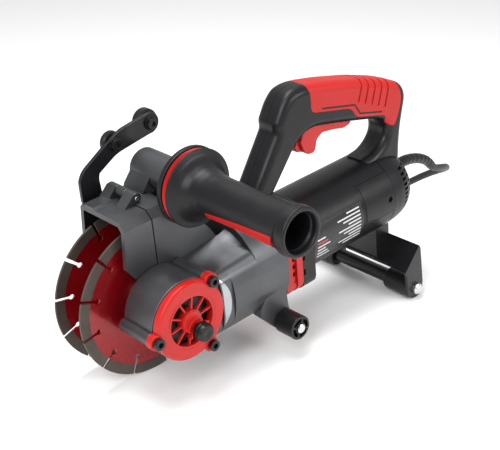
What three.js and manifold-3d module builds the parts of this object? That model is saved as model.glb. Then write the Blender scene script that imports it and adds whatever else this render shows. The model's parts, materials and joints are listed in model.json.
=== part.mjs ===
// Twin-blade wall chaser: two diamond blades under a hinged guard, a motor behind them, a D-handle on top,
// a side handle, rollers that carry the tool along the wall and a mains cord. Millimetres, +Z up.
//
// The tool is described in its own axes: the blade spindle is the Y axis, with the near blade at y = 0, and +X
// runs back along the motor. The finished group pitches those axes nose-down, so that the tool stands on both
// blades and its rear rollers, and puts the middle of its footprint at the origin.
import * as THREE from 'three';
import { mergeVertices } from 'three/addons/utils/BufferGeometryUtils.js';
import Module from 'manifold-3d';

const wasm = await Module();
wasm.setup();

// ---- driving dimensions ----
const GAP = 0.3; // running and assembly clearance
const BLADE = { radius: 75, thickness: 2.4, spacing: 37.4, bore: 11.3, slots: 12, slotDepth: 17 };
const SPINDLE_RADIUS = 11;
const FLANGE_RADIUS = 21;

const GUARD = { near: -14, far: 50, wall: 3, top: 89, seam: 5.5, front: -24, radius: 82 };
const HINGE = { x: 8, z: 94.4, radius: 5, pin: 2.2 };

const GEAR = { radius: 38, near: -53.3, far: GUARD.near - GAP }; // gear case around the spindle
const COVER = { near: -62, radius: 37.5, boltCircle: 39, bolts: [48, 184, 299] };
const LOCK = { x: 4.3, z: -9 };
const LAYSHAFT_Y = -35;

const MOTOR = { y: -12, radius: 41, wall: 3.5, front: 143.3, back: 278.7 };
const BARREL_BACK = 121;
const CAP_BACK = 328;
const GLAND = { z: 9, radius: 9, back: 330 };
const CORD_RADIUS = 4;

const SIDE_HANDLE = { x: 47, z: 101, bossRadius: 17, flange: 36, grip: 19.3, end: -157 };
const FOOT = { x: 111, z: -56.9, radius: 12, near: -79, far: -56.4 };
const REAR = { x: 277, z: -92, radius: 11.8, near: -80, far: 61, plate: 3.2, bore: 4.4 };
const ARM = { near: 56, far: 60, hub: 11, pivot: [16, 58] };
const ARM_ROLLERS = [
  { x: 26, z: 126.8, radius: 10.5, width: 6.5 },
  { x: 67.3, z: 132.7, radius: 12, width: 9.5 },
];
const PANEL = { from: -14, to: 47, front: 233, inner: 38.9 }; // brush covers, elevations in degrees
const GRIP_HALF = 16;
const HANDLE_FOOT = 48.5; // height of the gear case's pad under the handle's front leg
const TRIGGER_PIVOT = { x: 252, z: 99.5, radius: 5 };
const TRIGGER_SLOT = { front: 172, back: 260, half: 8.5, bottom: 70, top: 108.9 };
const SWITCH_BAY = { front: 205, back: 249, half: 10.5, top: 122 };

// The stance: nose-down until the rear rollers touch the floor that the blades stand on.
const PITCH = Math.asin((REAR.radius - BLADE.radius) / Math.hypot(REAR.x, REAR.z)) - Math.atan2(REAR.z, REAR.x);
const MIDDLE = { x: 126.7, y: -42.6 }; // middle of the footprint before it is moved to the origin

// The cord runs from the strain relief down to the floor behind the motor, into a coil that is tied up there.
// Places are those of the standing tool, before its footprint is centred.
const COIL = { x: 225, y: 185, inner: 35.6, outer: 60.6, height: 24.4 };
const PLUG = { y: COIL.y - 56, back: 191.7, radius: 18 };
const CORD_ROUTE = [
  [387.3, -12, 100.6], [392.5, -11.7, 97.2], [401.5, -10.2, 94], [413, -7.5, 90.8], [425, -3, 86.5],
  [436, 4, 81], [445, 13, 74.5], [450.5, 25, 67.5], [452, 38, 60], [450.5, 51, 51.5], [447.5, 64, 42],
  [444, 77, 31.5], [439, 89, 20.5], [431, 100, 11.5], [420, 109, 6], [406, 116, 4.3], [389, 121, 4.3],
  [370, 125, 4.3], [350, 128, 4.3], [330, 130.5, 4.3], [310, 133, 4.3], [290, 135.5, 4.3],
  [278, 136.7, 4.3], [268, 137, 4.3],
];

// ---- materials ----
const finish = (color, roughness, metalness) => new THREE.MeshStandardMaterial({ color, roughness, metalness });
const magnesium = finish(0x5b5c60, 0.42, 0.7);
const steel = finish(0xb9babc, 0.28, 1);
const blackSteel = finish(0x1d1e20, 0.45, 0.6);
const blackPlastic = finish(0x2f3033, 0.5, 0);
const redPlastic = finish(0xd8322b, 0.42, 0);
const bladeRed = finish(0x8c1116, 0.35, 0.5);
const rubber = finish(0x141415, 0.8, 0);
const copper = finish(0xb06a3a, 0.4, 1);

// ---- geometry helpers ----
const axes = (...columns) => new THREE.Matrix4().makeBasis(...columns.map((column) => new THREE.Vector3(...column)));
const AXES = {
  x: axes([0, 1, 0], [0, 0, 1], [1, 0, 0]),
  y: axes([1, 0, 0], [0, 0, 1], [0, -1, 0]),
};

function shapeFrom(points, holes = []) {
  const shape = new THREE.Shape(points.map(([u, v]) => new THREE.Vector2(u, v)));
  for (const hole of holes) shape.holes.push(new THREE.Path(hole.map(([u, v]) => new THREE.Vector2(u, v))));
  return shape;
}

// A plate whose outline lies in XZ, between two values of y; round > 0 rounds its edges, grow widens its outline.
function slabY(outline, y0, y1, { holes = [], round = 0, grow = 0 } = {}) {
  const bevel = round > 0 || grow !== 0;
  const geometry = new THREE.ExtrudeGeometry(shapeFrom(outline, holes), {
    depth: y1 - y0 - 2 * round,
    bevelEnabled: bevel,
    bevelThickness: round,
    bevelSize: round,
    bevelOffset: grow - round,
    bevelSegments: round > 0 ? 3 : 1,
  });
  geometry.applyMatrix4(AXES.y);
  return geometry.translate(0, y1 - round, 0);
}

// A bar whose outline lies in YZ, between two values of x.
function slabX(outline, x0, x1, holes = []) {
  const geometry = new THREE.ExtrudeGeometry(shapeFrom(outline, holes), { depth: x1 - x0, bevelEnabled: false });
  geometry.applyMatrix4(AXES.x);
  return geometry.translate(x0, 0, 0);
}

const lathe = (profile, sides) =>
  new THREE.LatheGeometry(profile.map(([r, h]) => new THREE.Vector2(r, h)), sides);

// Turned pieces: profiles list [radius, position along the axis] in the direction of the axis.
const turnedY = (profile, x = 0, z = 0, sides = 24) => lathe(profile, sides).translate(x, 0, z);
const turnedX = (profile, y = 0, z = 0, sides = 24) =>
  lathe(profile, sides).rotateZ(-Math.PI / 2).translate(0, y, z);

const rod = (radius, from, to) => [[0, from], [radius, from], [radius, to], [0, to]];
const tube = (inner, outer, from, to) => [[inner, from], [outer, from], [outer, to], [inner, to], [inner, from]];

const arc = (cx, cy, radius, fromDeg, toDeg, steps) =>
  Array.from({ length: steps + 1 }, (_, i) => {
    const angle = THREE.MathUtils.degToRad(fromDeg + ((toDeg - fromDeg) * i) / steps);
    return [cx + radius * Math.cos(angle), cy + radius * Math.sin(angle)];
  });

const box = (x0, x1, y0, y1, z0, z1) =>
  new THREE.BoxGeometry(x1 - x0, y1 - y0, z1 - z0).translate((x0 + x1) / 2, (y0 + y1) / 2, (z0 + z1) / 2);

// A closed BufferGeometry as a solid for joining and cutting, without the collapsed triangles at lathe poles.
function solid(geometry) {
  const plain = geometry.clone();
  plain.deleteAttribute('normal');
  plain.deleteAttribute('uv');
  const merged = mergeVertices(plain, 1e-4);
  const index = merged.index.array;
  const triangles = [];
  for (let i = 0; i < index.length; i += 3) {
    const [a, b, c] = [index[i], index[i + 1], index[i + 2]];
    if (a !== b && b !== c && c !== a) triangles.push(a, b, c);
  }
  const vertProperties = merged.attributes.position.array;
  return new wasm.Manifold(new wasm.Mesh({ numProp: 3, vertProperties, triVerts: new Uint32Array(triangles) }));
}

const join = (...geometries) => geometries.map(solid).reduce((whole, piece) => whole.add(piece));
const cut = (body, ...geometries) =>
  geometries.map(solid).reduce((left, tool) => left.subtract(tool), body);

function surface(body) {
  const mesh = body.getMesh();
  const geometry = new THREE.BufferGeometry();
  geometry.setAttribute('position', new THREE.BufferAttribute(Float32Array.from(mesh.vertProperties), 3));
  geometry.setIndex(Array.from(mesh.triVerts));
  geometry.computeVertexNormals();
  return geometry;
}

function named(name, material, shape) {
  const geometry = shape instanceof THREE.BufferGeometry ? surface(solid(shape)) : surface(shape);
  const mesh = new THREE.Mesh(geometry, material);
  mesh.name = name;
  return mesh;
}

// ---- blades and spindle ----
// Keyhole slots part the rim into segments; turn is the angle of the first slot.
function bladeOutline(turn) {
  const { radius, slots, slotDepth } = BLADE;
  const half = 1.2;
  const eye = 2.6;
  const step = 360 / slots;
  const halfAngle = THREE.MathUtils.radToDeg(half / radius);
  const outline = [];
  for (let i = 0; i < slots; i += 1) {
    const slot = turn + i * step;
    outline.push(...arc(0, 0, radius, slot + halfAngle, slot + step - halfAngle, 3));
    const next = THREE.MathUtils.degToRad(slot + step);
    const spin = ([along, across]) => [
      along * Math.cos(next) - across * Math.sin(next),
      along * Math.sin(next) + across * Math.cos(next),
    ];
    outline.push(...arc(radius - slotDepth, 0, eye, -28, -332, 4).map(spin));
  }
  return outline;
}

const circle = (radius, sides = 24, cx = 0, cz = 0) => arc(cx, cz, radius, 0, 360, sides).slice(0, -1);

function blades() {
  const half = BLADE.thickness / 2;
  const blade = (name, y, turn) =>
    named(name, bladeRed, slabY(bladeOutline(turn), y - half, y + half, { holes: [circle(BLADE.bore)] }));
  return [blade('blade_near', 0, 8), blade('blade_far', BLADE.spacing, 17.5)];
}

function spindleParts() {
  const half = BLADE.thickness / 2;
  const bore = SPINDLE_RADIUS + 0.2;
  const innerFlange = tube(bore, FLANGE_RADIUS, -10, -half - GAP);
  const spacer = tube(bore, FLANGE_RADIUS, half + GAP, BLADE.spacing - half - GAP);
  const outerFace = BLADE.spacing + half + GAP;
  const outerFlange = tube(bore, FLANGE_RADIUS, outerFace, outerFace + 4);
  const nut = slabY(circle(15, 6), outerFace + 4 + GAP, outerFace + 10, { holes: [circle(bore)] });
  const spindle = [
    [0, -56], [7, -56], [7, -52.6], [10, -52.6], [10, -12],
    [SPINDLE_RADIUS, -12], [SPINDLE_RADIUS, 49], [0, 49],
  ];
  // The bevel gear's pitch cone has its tip where the layshaft crosses the spindle.
  const bevelGear = [
    [10.2, -52.3], [26, -52.3], [28.5, -48], [28, -44.6], [16, -40.7], [10.2, -40.7], [10.2, -52.3],
  ];
  return [
    named('spindle', steel, turnedY(spindle)),
    named('inner_flange', steel, turnedY(innerFlange)),
    named('blade_spacer', steel, turnedY(spacer)),
    named('outer_flange', steel, turnedY(outerFlange)),
    named('clamp_nut', steel, nut),
    named('bevel_gear', steel, turnedY(bevelGear)),
    named('spindle_bearing', steel, turnedY(tube(10.3, 16, -27, -16), 0, 0, 20)),
  ];
}

// ---- gear case ----
// Section of the barrel beside the blades, as [y, z] anticlockwise from its top edge, at a given flare; the
// neck behind the cover is the same section, no nearer than a given y.
function barrelOutline(flare, nearest = -60) {
  return [
    [GEAR.far, 30 + 10 * flare], [-48.5, 22 + 6 * flare], [-54.8, 16 + 2 * flare], [-58.4, 6], [-59.3, -6],
    [-58, -18], [-54, -30], [-49.5, -38], [GEAR.far, -38],
  ].map(([y, z]) => [Math.max(y, nearest), z]);
}

// A closed solid between two anticlockwise YZ outlines of the same length, at two values of x.
function loftX(outline0, x0, outline1, x1) {
  const count = outline0.length;
  const positions = [...outline0.map(([y, z]) => [x0, y, z]), ...outline1.map(([y, z]) => [x1, y, z])].flat();
  const faces = THREE.ShapeUtils.triangulateShape(outline0.map(([y, z]) => new THREE.Vector2(y, z)), []);
  const index = faces.flatMap(([a, b, c]) => [c, b, a, count + a, count + b, count + c]);
  for (let i = 0; i < count; i += 1) {
    const j = (i + 1) % count;
    index.push(i, j, count + j, i, count + j, count + i);
  }
  const geometry = new THREE.BufferGeometry();
  geometry.setAttribute('position', new THREE.Float32BufferAttribute(positions, 3));
  geometry.setIndex(index);
  return geometry;
}

const boltPlace = (deg, radius) => {
  const angle = THREE.MathUtils.degToRad(deg);
  return [radius * Math.cos(angle), radius * Math.sin(angle)];
};

function footLug() {
  const outline = [
    [84, -34], [97, -14], [116.5, -14], [119, -46],
    ...arc(FOOT.x, FOOT.z, 11, 25, -120, 6), [84, -42],
  ];
  return slabY(outline, -56, -44, { holes: [circle(4.3, 16, FOOT.x, FOOT.z)] });
}

function gearCase() {
  const ribs = COVER.bolts.map((deg) => {
    const [x, z] = boltPlace(deg, COVER.boltCircle);
    return turnedY(rod(6.2, GEAR.near, GEAR.far), x, z, 12);
  });
  // A cone leads up to the motor's collar on the near side of the guard.
  const cone = solid(turnedX([[0, 56], [30, 56], [46, 108], [46, 112], [0, 112]], MOTOR.y, 0, 32));
  const shoulder = surface(cone.intersect(solid(box(50, BARREL_BACK, -70, GEAR.far, -60, 60))));
  const body = join(
    turnedY(rod(GEAR.radius, GEAR.near, GEAR.far), 0, 0, 40),
    loftX(barrelOutline(0, GEAR.near), 5, barrelOutline(0.3, GEAR.near), 40),
    loftX(barrelOutline(0.3, -56.6), 39.7, barrelOutline(0.4, -56.6), 53),
    loftX(barrelOutline(0.4), 52.9, barrelOutline(1.1), BARREL_BACK),
    turnedX(rod(46, 84.5, BARREL_BACK), MOTOR.y, 0, 32),
    shoulder,
    box(92, BARREL_BACK, MOTOR.y - 15, MOTOR.y + 15, 38, 48.2),
    footLug(),
    ...ribs,
  );
  const boltHoles = COVER.bolts.map((deg) => {
    const [x, z] = boltPlace(deg, COVER.boltCircle);
    return turnedY(rod(2.3, GEAR.near - 1, GEAR.near + 14), x, z, 8);
  });
  const hollow = cut(
    body,
    turnedY(rod(31.5, GEAR.near - 1, -38), 0, 0, 32), // gear chamber under the cover
    turnedY(rod(17.5, -39, -27.5), 0, 0, 24),
    turnedY(rod(16.3, -28, -15.7), 0, 0, 24), // spindle bearing seat
    turnedY(rod(12.5, -16, GEAR.far + 1), 0, 0, 24),
    turnedX(rod(10.6, 0, 97), LAYSHAFT_Y, 0, 20), // layshaft tunnel
    turnedX(rod(18.5, 96, BARREL_BACK + 1), LAYSHAFT_Y, 0, 24), // spur gear chamber
    turnedX(rod(14, 96, BARREL_BACK + 1), MOTOR.y, 0, 24),
    turnedY(rod(4.3, -57, -43), FOOT.x, FOOT.z, 16),
    ...boltHoles,
  );
  return named('gear_case', magnesium, hollow);
}

// The cover's outline is round with three ears, and slots fan out round its hub.
function gearCover() {
  const outline = circle(COVER.radius, 40);
  const ears = COVER.bolts.map((deg) => {
    const [x, z] = boltPlace(deg, COVER.boltCircle);
    return slabY(circle(7.2, 14, x, z), -61, GEAR.near - GAP);
  });
  const plate = join(slabY(outline, COVER.near, GEAR.near - GAP, { round: 1.5 }), ...ears);
  const slots = Array.from({ length: 8 }, (_, i) => -30 + 36 * i).map((deg) => {
    const side = (radius, offset) => boltPlace(deg + offset, radius);
    return slabY([side(11, -9), side(23, -13), side(24, 0), side(23, 12), side(11, 9)], COVER.near - 1, -57);
  });
  const holes = COVER.bolts.map((deg) => {
    const [x, z] = boltPlace(deg, COVER.boltCircle);
    return turnedY(rod(2.3, -63, -52), x, z, 8);
  });
  const headSeats = COVER.bolts.map((deg) => {
    const [x, z] = boltPlace(deg, COVER.boltCircle);
    return turnedY(rod(5.7, -63, -61), x, z, 12);
  });
  const seat = turnedY(rod(8, -56.3, -52), 0, 0, 16); // room for the spindle's end
  const lockBore = turnedY(rod(5.3, -63, -57.2), LOCK.x, LOCK.z, 14);
  return named('gear_cover', redPlastic, cut(plate, ...slots, ...holes, ...headSeats, seat, lockBore));
}

function coverScrews() {
  return COVER.bolts.map((deg, i) => {
    const [x, z] = boltPlace(deg, COVER.boltCircle);
    const profile = [[0, -66], [4, -66], [5.2, -65], [5.2, -61.3], [2, -61.3], [2, -44], [0, -44]];
    return named(`cover_screw_${i + 1}`, blackSteel, turnedY(profile, x, z, 12));
  });
}

// Spindle-lock button: a domed cap that slides into the cover.
function lockButton() {
  const profile = [[0, -76], [7.4, -76], [8.6, -74.6], [8.6, -66], [5, -66], [5, -60.6], [0, -60.6]];
  return named('lock_button', rubber, turnedY(profile, LOCK.x, LOCK.z, 20));
}

function layshaft() {
  const profile = [
    [0, 17.5], [5.2, 17.5], [8.6, 28], [8.6, 30.5], [5, 30.5], [5, 98], [16.8, 98], [16.8, 107], [5, 107],
    [5, 118], [0, 118],
  ];
  return named('layshaft', steel, turnedX(profile, LAYSHAFT_Y, 0, 20));
}

// ---- blade guard ----
const roofArc = (radius, steps) => arc(0, 0, radius, 62, -14, steps);

function mainGuard() {
  const { near, far, wall, top, seam, radius } = GUARD;
  const shell = slabY([[seam, top], [28, top], ...roofArc(radius, 9), [seam, -20]], near, far);
  const inner = radius - wall;
  const hollow = slabY(
    [[seam - 1, top - wall], [25, top - wall], ...roofArc(inner, 9), [inner - 2, -40], [seam - 1, -40]],
    near + wall, far - wall,
  );
  const pillar = slabY(
    [[22, top - 1], [30.2, 104], [34, 112], [58, 113], [64, 101], [70, 60], [50, 60], [40, top - 2.5]], 14, 46,
  );
  const { x, z, bossRadius } = SIDE_HANDLE;
  const body = join(
    shell, pillar,
    turnedY(rod(bossRadius, -17, 46), x, z, 28),
    turnedY(rod(9, far - 1, ARM.near - GAP), ARM.pivot[0], ARM.pivot[1], 20), // boss behind the roller arm
    slabY([[seam, top - 1], [seam, 93], [10, 98], [15, top - 1]], 20.8, 33.2), // foot of the middle knuckle
    turnedY(rod(HINGE.radius, 20.8, 33.2), HINGE.x, HINGE.z, 16),
  );
  const hollowed = cut(
    body,
    hollow,
    turnedY(rod(24, near - 1, near + wall + 1)), // inner flange passes the near wall
    turnedY(rod(27, far - wall - 1, far + 1)), // clamp nut is reached through the far wall
    turnedY(rod(6.4, -18, 22), x, z, 14), // side-handle stud
    turnedY(rod(HINGE.pin + GAP, 20, 34), HINGE.x, HINGE.z, 12),
    turnedY(rod(4.4, far - wall - 1, ARM.near), ARM.pivot[0], ARM.pivot[1], 12),
  );
  return named('main_guard', magnesium, hollowed);
}

function frontGuard() {
  const { near, far, wall, top, seam, front } = GUARD;
  const back = seam - 0.7;
  const side = [[front, top], [back, top], [back, 38], [-19.5, 33.5], [-28, 46]];
  const shell = slabY(side, near, far);
  const hollow = slabY(
    [[front + 6, top - wall], [back + 1, top - wall], [back + 1, 20], [-22, 20], [front - 2, 46]],
    near + wall, far - wall,
  );
  const mouth = slabY([[front - 6, top - 6], [front + 7, top - 6], [front + 7, 20], [front - 6, 20]],
    near + 5, far - 5);
  const ridge = slabX([[17, top - 1], [23, top - 1], [20, top + 1.6]], front, back);
  const knuckles = [[8, 20.4], [33.6, 46.5]].flatMap(([y0, y1]) => [
    slabY([[back - 12, top - 1], [HINGE.x - 3, 99], [HINGE.x, 96], [back, top - 1]], y0, y1),
    turnedY(rod(HINGE.radius, y0, y1), HINGE.x, HINGE.z, 16),
  ]);
  const body = join(shell, ridge, ...knuckles);
  const bore = turnedY(rod(HINGE.pin + GAP, 7, 48), HINGE.x, HINGE.z, 12);
  return named('front_guard', magnesium, cut(body, hollow, mouth, bore));
}

function hingePin() {
  return named('hinge_pin', steel, turnedY(rod(HINGE.pin, 7.5, 47), HINGE.x, HINGE.z, 10));
}

// ---- folding roller arm on the far wall of the guard ----
function rollerArm() {
  const [px, pz] = ARM.pivot;
  const tip = ARM_ROLLERS[1];
  const outline = [
    ...arc(px, pz, ARM.hub, 60, -130, 7),
    [-13, 72], [-17, 84], [-17, 97], ...arc(3, 98, 20.5, 165, 118, 4),
    [24, 134], [35, 138], ...arc(tip.x - 0.5, tip.z, 10.2, 96, -96, 8),
    [31, 117.5], [24, 115.5], ...arc(19, 99, 15, 155, 190, 3), [5, 84], [9, 74],
  ];
  const plate = slabY(outline, ARM.near, ARM.far);
  const holes = [...ARM_ROLLERS.map(({ x, z }) => [x, z]), ARM.pivot].map(([x, z]) =>
    turnedY(rod(4.3, ARM.near - 1, ARM.far + 1), x, z, 12));
  return named('roller_arm', blackSteel, cut(solid(plate), ...holes));
}

function armHardware() {
  const parts = [];
  ARM_ROLLERS.forEach(({ x, z, radius, width }, i) => {
    const inside = ARM.far + GAP;
    const outside = inside + width;
    const roller = [[4.3, inside], [radius, inside], [radius, outside], [4.3, outside], [4.3, inside]];
    const under = ARM.near - GAP;
    const bolt = [[0, 51.5], [6, 51.5], [6, under], [4, under], [4, outside + 2], [0, outside + 2]];
    parts.push(named(`arm_roller_${i + 1}`, rubber, turnedY(roller, x, z)));
    parts.push(named(`arm_bolt_${i + 1}`, blackSteel, turnedY(bolt, x, z, 12)));
  });
  const [px, pz] = ARM.pivot;
  const pivot = [[0, 50.4], [4, 50.4], [4, ARM.far + GAP], [8, ARM.far + GAP], [8, 65], [0, 65]];
  parts.push(named('arm_pivot_bolt', steel, turnedY(pivot, px, pz, 16)));
  return parts;
}

// ---- motor ----
// Rounded square outline of the flanges, as [y, z] round the motor axis.
function squareOutline(half, corner) {
  const c = half - corner;
  return [[1, 1, 0], [-1, 1, 90], [-1, -1, 180], [1, -1, 270]].flatMap(([sy, sz, start]) =>
    arc(MOTOR.y + sy * c, sz * c, corner, start, start + 90, 5));
}

function baffleRing() {
  const back = MOTOR.front - GAP;
  return named('baffle_ring', redPlastic, cut(
    solid(slabX(squareOutline(42, 14), BARREL_BACK + GAP, back)),
    turnedX(rod(37, 131, back + 1), MOTOR.y, 0, 32), // fan chamber
    turnedX(rod(11.3, BARREL_BACK, 132), MOTOR.y, 0, 20), // front bearing seat
    box(131.5, 137, MOTOR.y - 44, MOTOR.y - 36, -12, 16), // air outlets
    box(131.5, 137, MOTOR.y + 36, MOTOR.y + 44, -12, 16),
  ));
}

function motorHousing() {
  const { y, radius, wall, front, back } = MOTOR;
  const flangeBack = front + 16.5;
  const lugs = [[-1, -1], [-1, 1], [1, -1], [1, 1]].map(([sy, sz]) =>
    turnedX(rod(5.5, front + 3, flangeBack + 4), y + sy * 33, sz * 33, 12));
  const body = join(
    slabX(squareOutline(42, 12), front, flangeBack),
    turnedX(rod(radius, front, back), y, 0, 40),
    ...lugs,
  );
  const inner = radius - wall;
  return named('motor_housing', blackPlastic, cut(
    body,
    turnedX(rod(inner, front - 1, 260), y, 0, 32),
    turnedX(rod(inner, 271, back + 1), y, 0, 32),
    turnedX(rod(11.3, 259, 272), y, 0, 20), // rear bearing seat
    ...[45, 135, 225, 315].map((deg) => {
      const [dy, dz] = boltPlace(deg, 25);
      return turnedX(rod(7, 259, 272), y + dy, dz, 10); // air holes
    }),
    ...panelRecesses(),
  ));
}

// Sector of a tube round the motor axis, between two elevations on one side (-1 near, 1 far).
function sectorX(side, inner, outer, fromDeg, toDeg, x0, x1) {
  const place = ([a, b]) => [MOTOR.y + side * a, b];
  const steps = 8;
  const rim = arc(0, 0, outer, fromDeg, toDeg, steps).map(place);
  const root = arc(0, 0, inner, toDeg, fromDeg, steps).map(place);
  return slabX([...rim, ...root], x0, x1);
}

const panelRecesses = () => [-1, 1].map((side) =>
  sectorX(side, PANEL.inner - GAP, 44, PANEL.from - 0.5, PANEL.to + 0.5, PANEL.front - GAP, MOTOR.back + 1));

// Brush covers: curved panels let into each flank of the motor housing, with a screw hole.
function brushCovers() {
  return [['near', -1], ['far', 1]].map(([where, side]) => {
    const { inner, from, to, front } = PANEL;
    const panel = solid(sectorX(side, inner, MOTOR.radius + 0.2, from, to, front, MOTOR.back));
    const hole = turnedY(rod(2.4, -60, 60), 271.5, 5, 12);
    return named(`brush_cover_${where}`, blackPlastic, cut(panel, hole));
  });
}

function armature() {
  const core = [[5.3, 172], [23, 172], [23, 222], [5.3, 222], [5.3, 172]];
  const shaft = [[0, 98], [5.8, 98], [5.8, 108], [5, 108], [5, 273], [0, 273]];
  const at = (name, material, profile) => named(name, material, turnedX(profile, MOTOR.y, 0, 20));
  return [
    at('armature_shaft', steel, shaft),
    at('armature_core', steel, core),
    at('commutator', copper, tube(5.3, 13, 236, 255)),
    at('fan', blackPlastic, [[5.3, 132], [9, 132], [33, 139], [33, 141], [5.3, 141], [5.3, 132]]),
    at('front_bearing', steel, tube(5.3, 11, 122, 130)),
    at('rear_bearing', steel, tube(5.3, 11, 261.5, 269.5)),
    at('stator', steel, tube(24, 37.2, 170, 224)),
  ];
}

function brushes() {
  return [['near', -1], ['far', 1]].map(([where, side]) => {
    const y0 = MOTOR.y + side * 13.4;
    const y1 = MOTOR.y + side * 34;
    return named(`brush_${where}`, blackSteel, box(242, 249, Math.min(y0, y1), Math.max(y0, y1), -4, 4));
  });
}

// ---- rear cap ----
// Half outline of the cap, grown by a given amount: a drum that tapers round to a small flat end.
const capProfile = (front, grow = 0) => [
  [0, front], [41 + grow, front], [40.6 + grow, 290], [39.2 + grow, 299], [35.6 + grow, 308.5],
  [28 + grow, 317.5], [18 + grow, 324.5], [11 + grow, CAP_BACK + grow], [0, CAP_BACK + grow],
];

function rearCap() {
  const front = MOTOR.back + GAP;
  const inside = front - 1;
  const body = join(
    turnedX(capProfile(front), MOTOR.y, 0, 36),
    turnedX(rod(GLAND.radius, 312, GLAND.back), MOTOR.y, GLAND.z, 18),
  );
  const vents = Array.from({ length: 8 }, (_, i) => -12 + 5 * i).map((z) =>
    box(291, 309, -60, 40, z, z + 2.4));
  return named('rear_cap', blackPlastic, cut(
    body,
    turnedX([[0, inside], [37.5, inside], [37, 298], [22, 312], [0, 312]], MOTOR.y, 0, 30),
    turnedX(rod(CORD_RADIUS + GAP, 306, 340), MOTOR.y, GLAND.z, 14),
    ...vents,
  ));
}

// ---- D-handle ----
const handleOutline = () => [
  [103, HANDLE_FOOT], [148.5, 114], [147.5, 122], [157, 138], [168, 148], [182, 149.5], [196, 147.5], [222, 142],
  [262, 131.5], [300, 118.5], ...arc(309.5, 92.5, 20, 60, -18, 5), [323, 66], [320, 48], [318, 22],
  [264, 22], [264, 42.5], [281, 44.5], [291, 50], [298, 58], [299, 68], [294, 76.5], [281, 82], [232, 95],
  [200, 102.5], [186, 102], [172, 94], [133, HANDLE_FOOT],
];

// The soft red grip: its outline seen from the side.
const gripOutline = () => [
  [187, 160], [189, 150], [191, 138], [191, 121], [244, 108.5], [253, 94.5], [296, 82.5], [297, 73], [308, 71],
  [315, 82], [322, 92], [317, 104], [312, 125], [300, 140],
];

function handleSolids() {
  const y0 = MOTOR.y - GRIP_HALF;
  const y1 = MOTOR.y + GRIP_HALF;
  const full = solid(slabY(handleOutline(), y0, y1, { round: 7 }));
  const skin = 2;
  const core = (inset) => solid(slabY(handleOutline(), y0 + inset, y1 - inset, { round: 6, grow: -inset }));
  const region = (grow) => solid(slabY(gripOutline(), y0 - 2, y1 + 2, { grow }));
  const grip = full.intersect(region(0)).subtract(core(skin - GAP));
  const keepOut = join(
    turnedX(capProfile(255, GAP), MOTOR.y, 0, 36),
    turnedX(rod(MOTOR.radius + GAP, 130, 290), MOTOR.y, 0, 40),
    box(90, 175, -60, 40, 0, HANDLE_FOOT),
  );
  const body = full.subtract(region(GAP)).add(core(skin).intersect(region(GAP + 1))).subtract(keepOut);
  return { body, grip };
}

function handle() {
  const { body, grip } = handleSolids();
  const slot = TRIGGER_SLOT;
  const bay = SWITCH_BAY;
  const hollowed = cut(
    body,
    box(slot.front, slot.back, MOTOR.y - slot.half, MOTOR.y + slot.half, slot.bottom, slot.top),
    box(bay.front, bay.back, MOTOR.y - bay.half, MOTOR.y + bay.half, slot.top - GAP, bay.top),
  );
  const half = (y0, y1) => solid(box(90, 345, y0, y1, 0, 170));
  return [
    named('handle_near', blackPlastic, hollowed.intersect(half(-60, MOTOR.y - GAP / 2))),
    named('handle_far', blackPlastic, hollowed.intersect(half(MOTOR.y + GAP / 2, 40))),
    named('grip_sleeve', redPlastic, grip),
  ];
}

function trigger() {
  const { x, z, radius } = TRIGGER_PIVOT;
  const bay = SWITCH_BAY;
  const switchHalf = bay.half - 0.5;
  const outline = [
    [187, 101.5], [183, 90.5], [187, 79.5], [193, 75], [201, 74.5], [203.5, 79.5], [205, 86.5], [213, 91],
    [229, 88.5], [243, 85], [253, 86.5], ...arc(x, z, radius, -70, 90, 5), [229, 103.7],
  ];
  const body = solid(slabY(outline, MOTOR.y - 8, MOTOR.y + 8, { round: 1.5 }));
  const tabSeat = box(177, 190.5, MOTOR.y - 4.3, MOTOR.y + 4.3, 76.5, 97);
  const tab = [[190.2, 78.5], [190.2, 92.5], [183, 93.5], [178.5, 86.5], [181, 80.5]];
  return [
    named('trigger', redPlastic, cut(body, tabSeat)),
    named('lock_tab', redPlastic, slabY(tab, MOTOR.y - 4, MOTOR.y + 4)),
    named('switch', blackSteel, box(
      bay.front + GAP, bay.back - GAP, MOTOR.y - switchHalf, MOTOR.y + switchHalf,
      TRIGGER_SLOT.top + GAP, bay.top - 0.5,
    )),
  ];
}

// ---- side handle ----
function sideHandle() {
  const { x, z, flange, grip, end } = SIDE_HANDLE;
  const gripProfile = [
    [6.5, -28.4], [flange - 1, -28.4], [flange, -29.4], [flange, -31], [30, -33], [25.5, -37], [22, -43],
    [grip + 0.7, -51], [grip, -62], [grip - 0.6, -100], [grip + 0.3, -138], [grip + 2.7, -150],
    [grip + 2.7, end + 1], [grip + 1.7, end], [17, end], [16, -120], [6.5, -120], [6.5, -28.4],
  ];
  const at = (name, material, profile, sides = 32) => named(name, material, turnedY(profile, x, z, sides));
  return [
    at('side_handle_plate', blackPlastic, tube(6.5, flange, -22.4, -17.4)),
    at('side_handle_ring', redPlastic, tube(6.5, flange - 1.5, -28, -22.8)),
    at('side_handle_grip', blackPlastic, gripProfile.reverse()),
    at('side_handle_stud', steel, rod(6, -112, 20), 14),
  ];
}

// ---- rollers under the tool ----
function footRoller() {
  const { x, z, radius, near, far } = FOOT;
  const head = near - GAP;
  const bolt = [[0, head - 2], [6, head - 2], [6, head], [4, head], [4, -45], [0, -45]];
  return [
    named('foot_roller', rubber, turnedY(tube(4.3, radius, near, far), x, z)),
    named('foot_bolt', steel, turnedY(bolt, x, z, 12)),
  ];
}

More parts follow.
